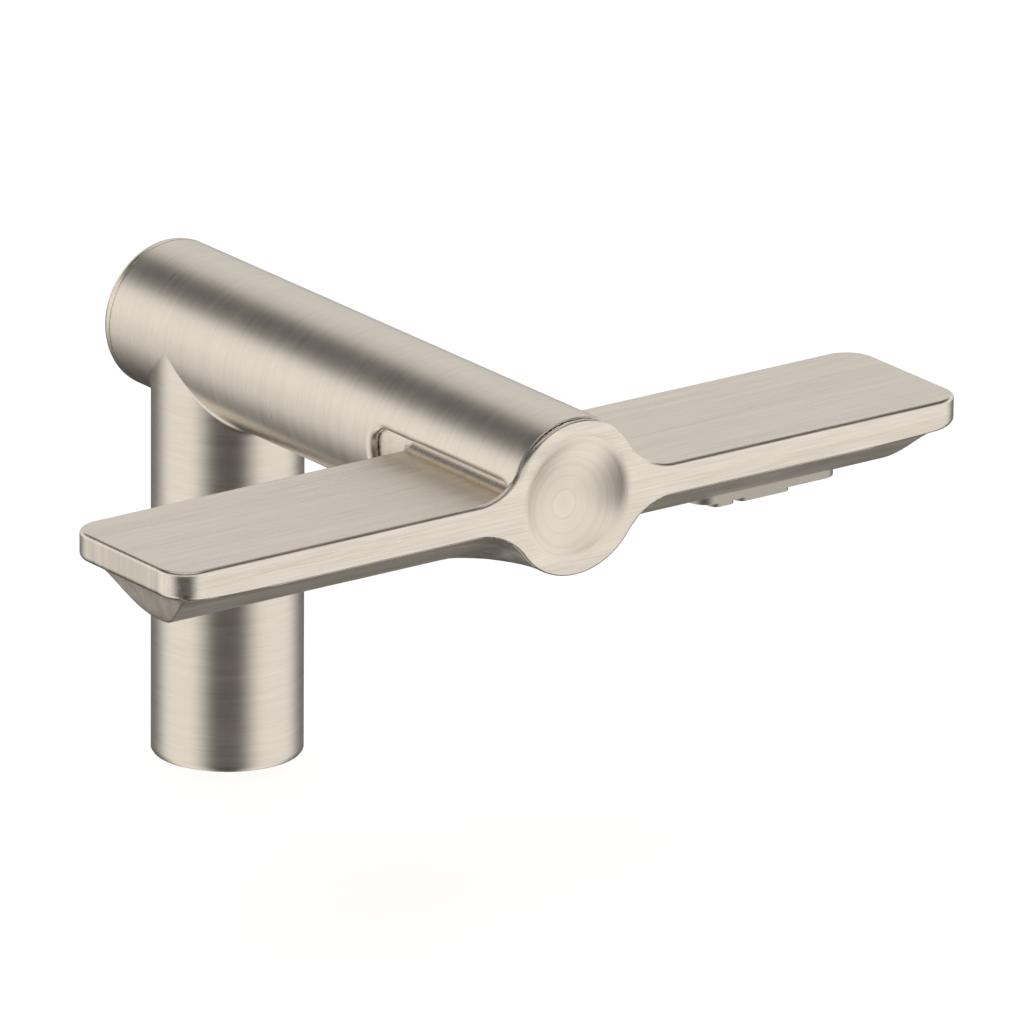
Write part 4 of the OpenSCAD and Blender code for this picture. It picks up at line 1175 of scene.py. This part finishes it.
# Studio: where the camera stands, in millimetres, which way it looks, and the light's levels

CAMERA_PLACE = (-3365.62, -4748.00, 2071.93)
CAMERA_BACK = (-0.558804, -0.763353, 0.324085)
CAMERA_ROLL = math.radians(0.377)
CAMERA_LENS = 692.337
FLOOR_GLOW = 0.65
FLOOR_R = 12
DARKEST = 0.02
UNDER_LIGHT = 0.3
BAND_LIGHT = 0.99
CEILING_LIGHT = 0.7
REAR_LIGHT = 0.65


def make_floor(finish):
    """A wide pale floor that shows to the camera and takes soft shadows"""
    count = 96
    turn = np.arange(count) * 2 * math.pi / count
    ring = np.stack([FLOOR_R * np.cos(turn), FLOOR_R * np.sin(turn), 0 * turn], axis=1)
    mesh = bpy.data.meshes.new("floor")
    mesh.from_pydata([tuple(p) for p in ring], [], [tuple(range(count))])
    floor = new_object("floor", mesh)
    made, tree, shader = new_material("floor_paper")
    shader.inputs["Roughness"].default_value = 0.9
    shader.inputs["Specular IOR Level"].default_value = 0.0
    shader.inputs["Base Color"].default_value = (*finish.floor, 1)
    shader.inputs["Emission Color"].default_value = (1, 1, 1, 1)
    shader.inputs["Emission Strength"].default_value = FLOOR_GLOW
    mesh.materials.append(made)
    floor.visible_glossy = False
    floor.visible_diffuse = False


def smooth_step(low, high, value):
    """0 below low, 1 above high and smooth between them"""
    t = ((value - low) / (high - low)).clamped()
    return t * t * (3 - 2 * t)


def make_light(scene):
    """Soft light by rise over the horizon and turn away from the camera, both in degrees

    A bright band lies about the horizon and reaches far down on the camera's half. Over it come
    a dark ring, filled at the rear, and a bright ceiling. Below the horizon it is darker by the
    camera (strip) and far round (sides), and straight down (under) it is dim.
    """
    world = bpy.data.worlds.new("studio")
    scene.world = world
    world.use_nodes = True
    tree = world.node_tree
    tree.nodes.clear()
    way = tree.nodes.new("ShaderNodeTexCoord").outputs["Generated"]
    x, y, z = split_xyz(tree, way)
    flat = calculate(tree, "SQRT", x * x + y * y + 1e-6)
    front = (x * CAMERA_BACK[0] + y * CAMERA_BACK[1]) / (flat * math.hypot(*CAMERA_BACK[:2]))
    rise = calculate(tree, "ARCSINE", z) * (180 / math.pi)
    turn = calculate(tree, "ARCCOSINE", front * 0.99999) * (180 / math.pi)
    lean = (x * CAMERA_BACK[1] - y * CAMERA_BACK[0]) * 3.5
    near = 1 - smooth_step(96, 130, turn)
    low = smooth_step(-48, -14, rise)
    low = low + (1 - low) * near * 0.75 * smooth_step(-80, -66, rise)
    band = low * (1 - smooth_step(22, 34, rise))
    ceiling = smooth_step(52, 64, rise)
    rear = smooth_step(138, 165, turn) * (1 - smooth_step(42, 60, rise))
    rear = rear * smooth_step(20, 30, rise)
    strip = (1 - smooth_step(14, 58, turn)) * (1 - smooth_step(-10, 10, rise))
    sides = smooth_step(97, 142, turn + lean) * (1 - smooth_step(-12, 2, rise))
    behind = smooth_step(140, 172, turn)
    under = 1 - smooth_step(-45, -30, rise)
    level = DARKEST + under * UNDER_LIGHT + band * BAND_LIGHT * (1 - behind * 0.29)
    level = level + ceiling * CEILING_LIGHT + rear * REAR_LIGHT
    level = level * (1 - strip * 0.93) * (1 - sides * 0.8)
    shine = add_node(tree, "ShaderNodeBackground", Strength=level, Color=(1.0, 0.985, 0.965, 1))
    back = add_node(tree, "ShaderNodeBackground", Color=(1, 1, 1, 1))
    seen = tree.nodes.new("ShaderNodeLightPath")
    mix = tree.nodes.new("ShaderNodeMixShader")
    tree.links.new(seen.outputs["Is Camera Ray"], mix.inputs[0])
    tree.links.new(shine.outputs[0], mix.inputs[1])
    tree.links.new(back.outputs[0], mix.inputs[2])
    out = tree.nodes.new("ShaderNodeOutputWorld")
    tree.links.new(mix.outputs[0], out.inputs[0])


def make_camera(scene):
    """The camera at the photo's angle, distance and height"""
    data = bpy.data.cameras.new("camera")
    data.lens = CAMERA_LENS
    data.sensor_width = 36
    data.clip_start = 0.1
    data.clip_end = 60
    camera = new_object("camera", data)
    back = Vector(CAMERA_BACK).normalized()
    right = Vector((0, 0, 1)).cross(back).normalized()
    up = back.cross(right)
    c, s = math.cos(CAMERA_ROLL), math.sin(CAMERA_ROLL)
    right, up = right * c + up * s, up * c - right * s
    turn = Matrix((right, up, back)).transposed()
    camera.matrix_world = Matrix.Translation(Vector(CAMERA_PLACE) * MM) @ turn.to_4x4()
    scene.camera = camera


OPERATORS = (TAP_OT_materials, TAP_OT_casting, TAP_OT_keels, TAP_OT_barrel, TAP_OT_gasket,
             TAP_OT_grille, TAP_OT_stem, TAP_OT_outlet, TAP_OT_stage)
CLASSES = (TapSizes, TapFinish, *OPERATORS, TAP_PT_panel)


def register():
    for item in CLASSES:
        bpy.utils.register_class(item)
    bpy.types.Scene.tap_sizes = bpy.props.PointerProperty(type=TapSizes)
    bpy.types.Scene.tap_finish = bpy.props.PointerProperty(type=TapFinish)


def unregister():
    del bpy.types.Scene.tap_finish
    del bpy.types.Scene.tap_sizes
    for item in reversed(CLASSES):
        bpy.utils.unregister_class(item)


def main():
    """Makes the tap and its studio"""
    register()
    bpy.ops.tap.materials()
    bpy.ops.tap.casting()
    bpy.ops.tap.keels()
    bpy.ops.tap.barrel()
    bpy.ops.tap.gasket()
    bpy.ops.tap.grille()
    bpy.ops.tap.stem()
    bpy.ops.tap.outlet()
    bpy.ops.tap.stage()


if __name__ == "__main__":
    main()
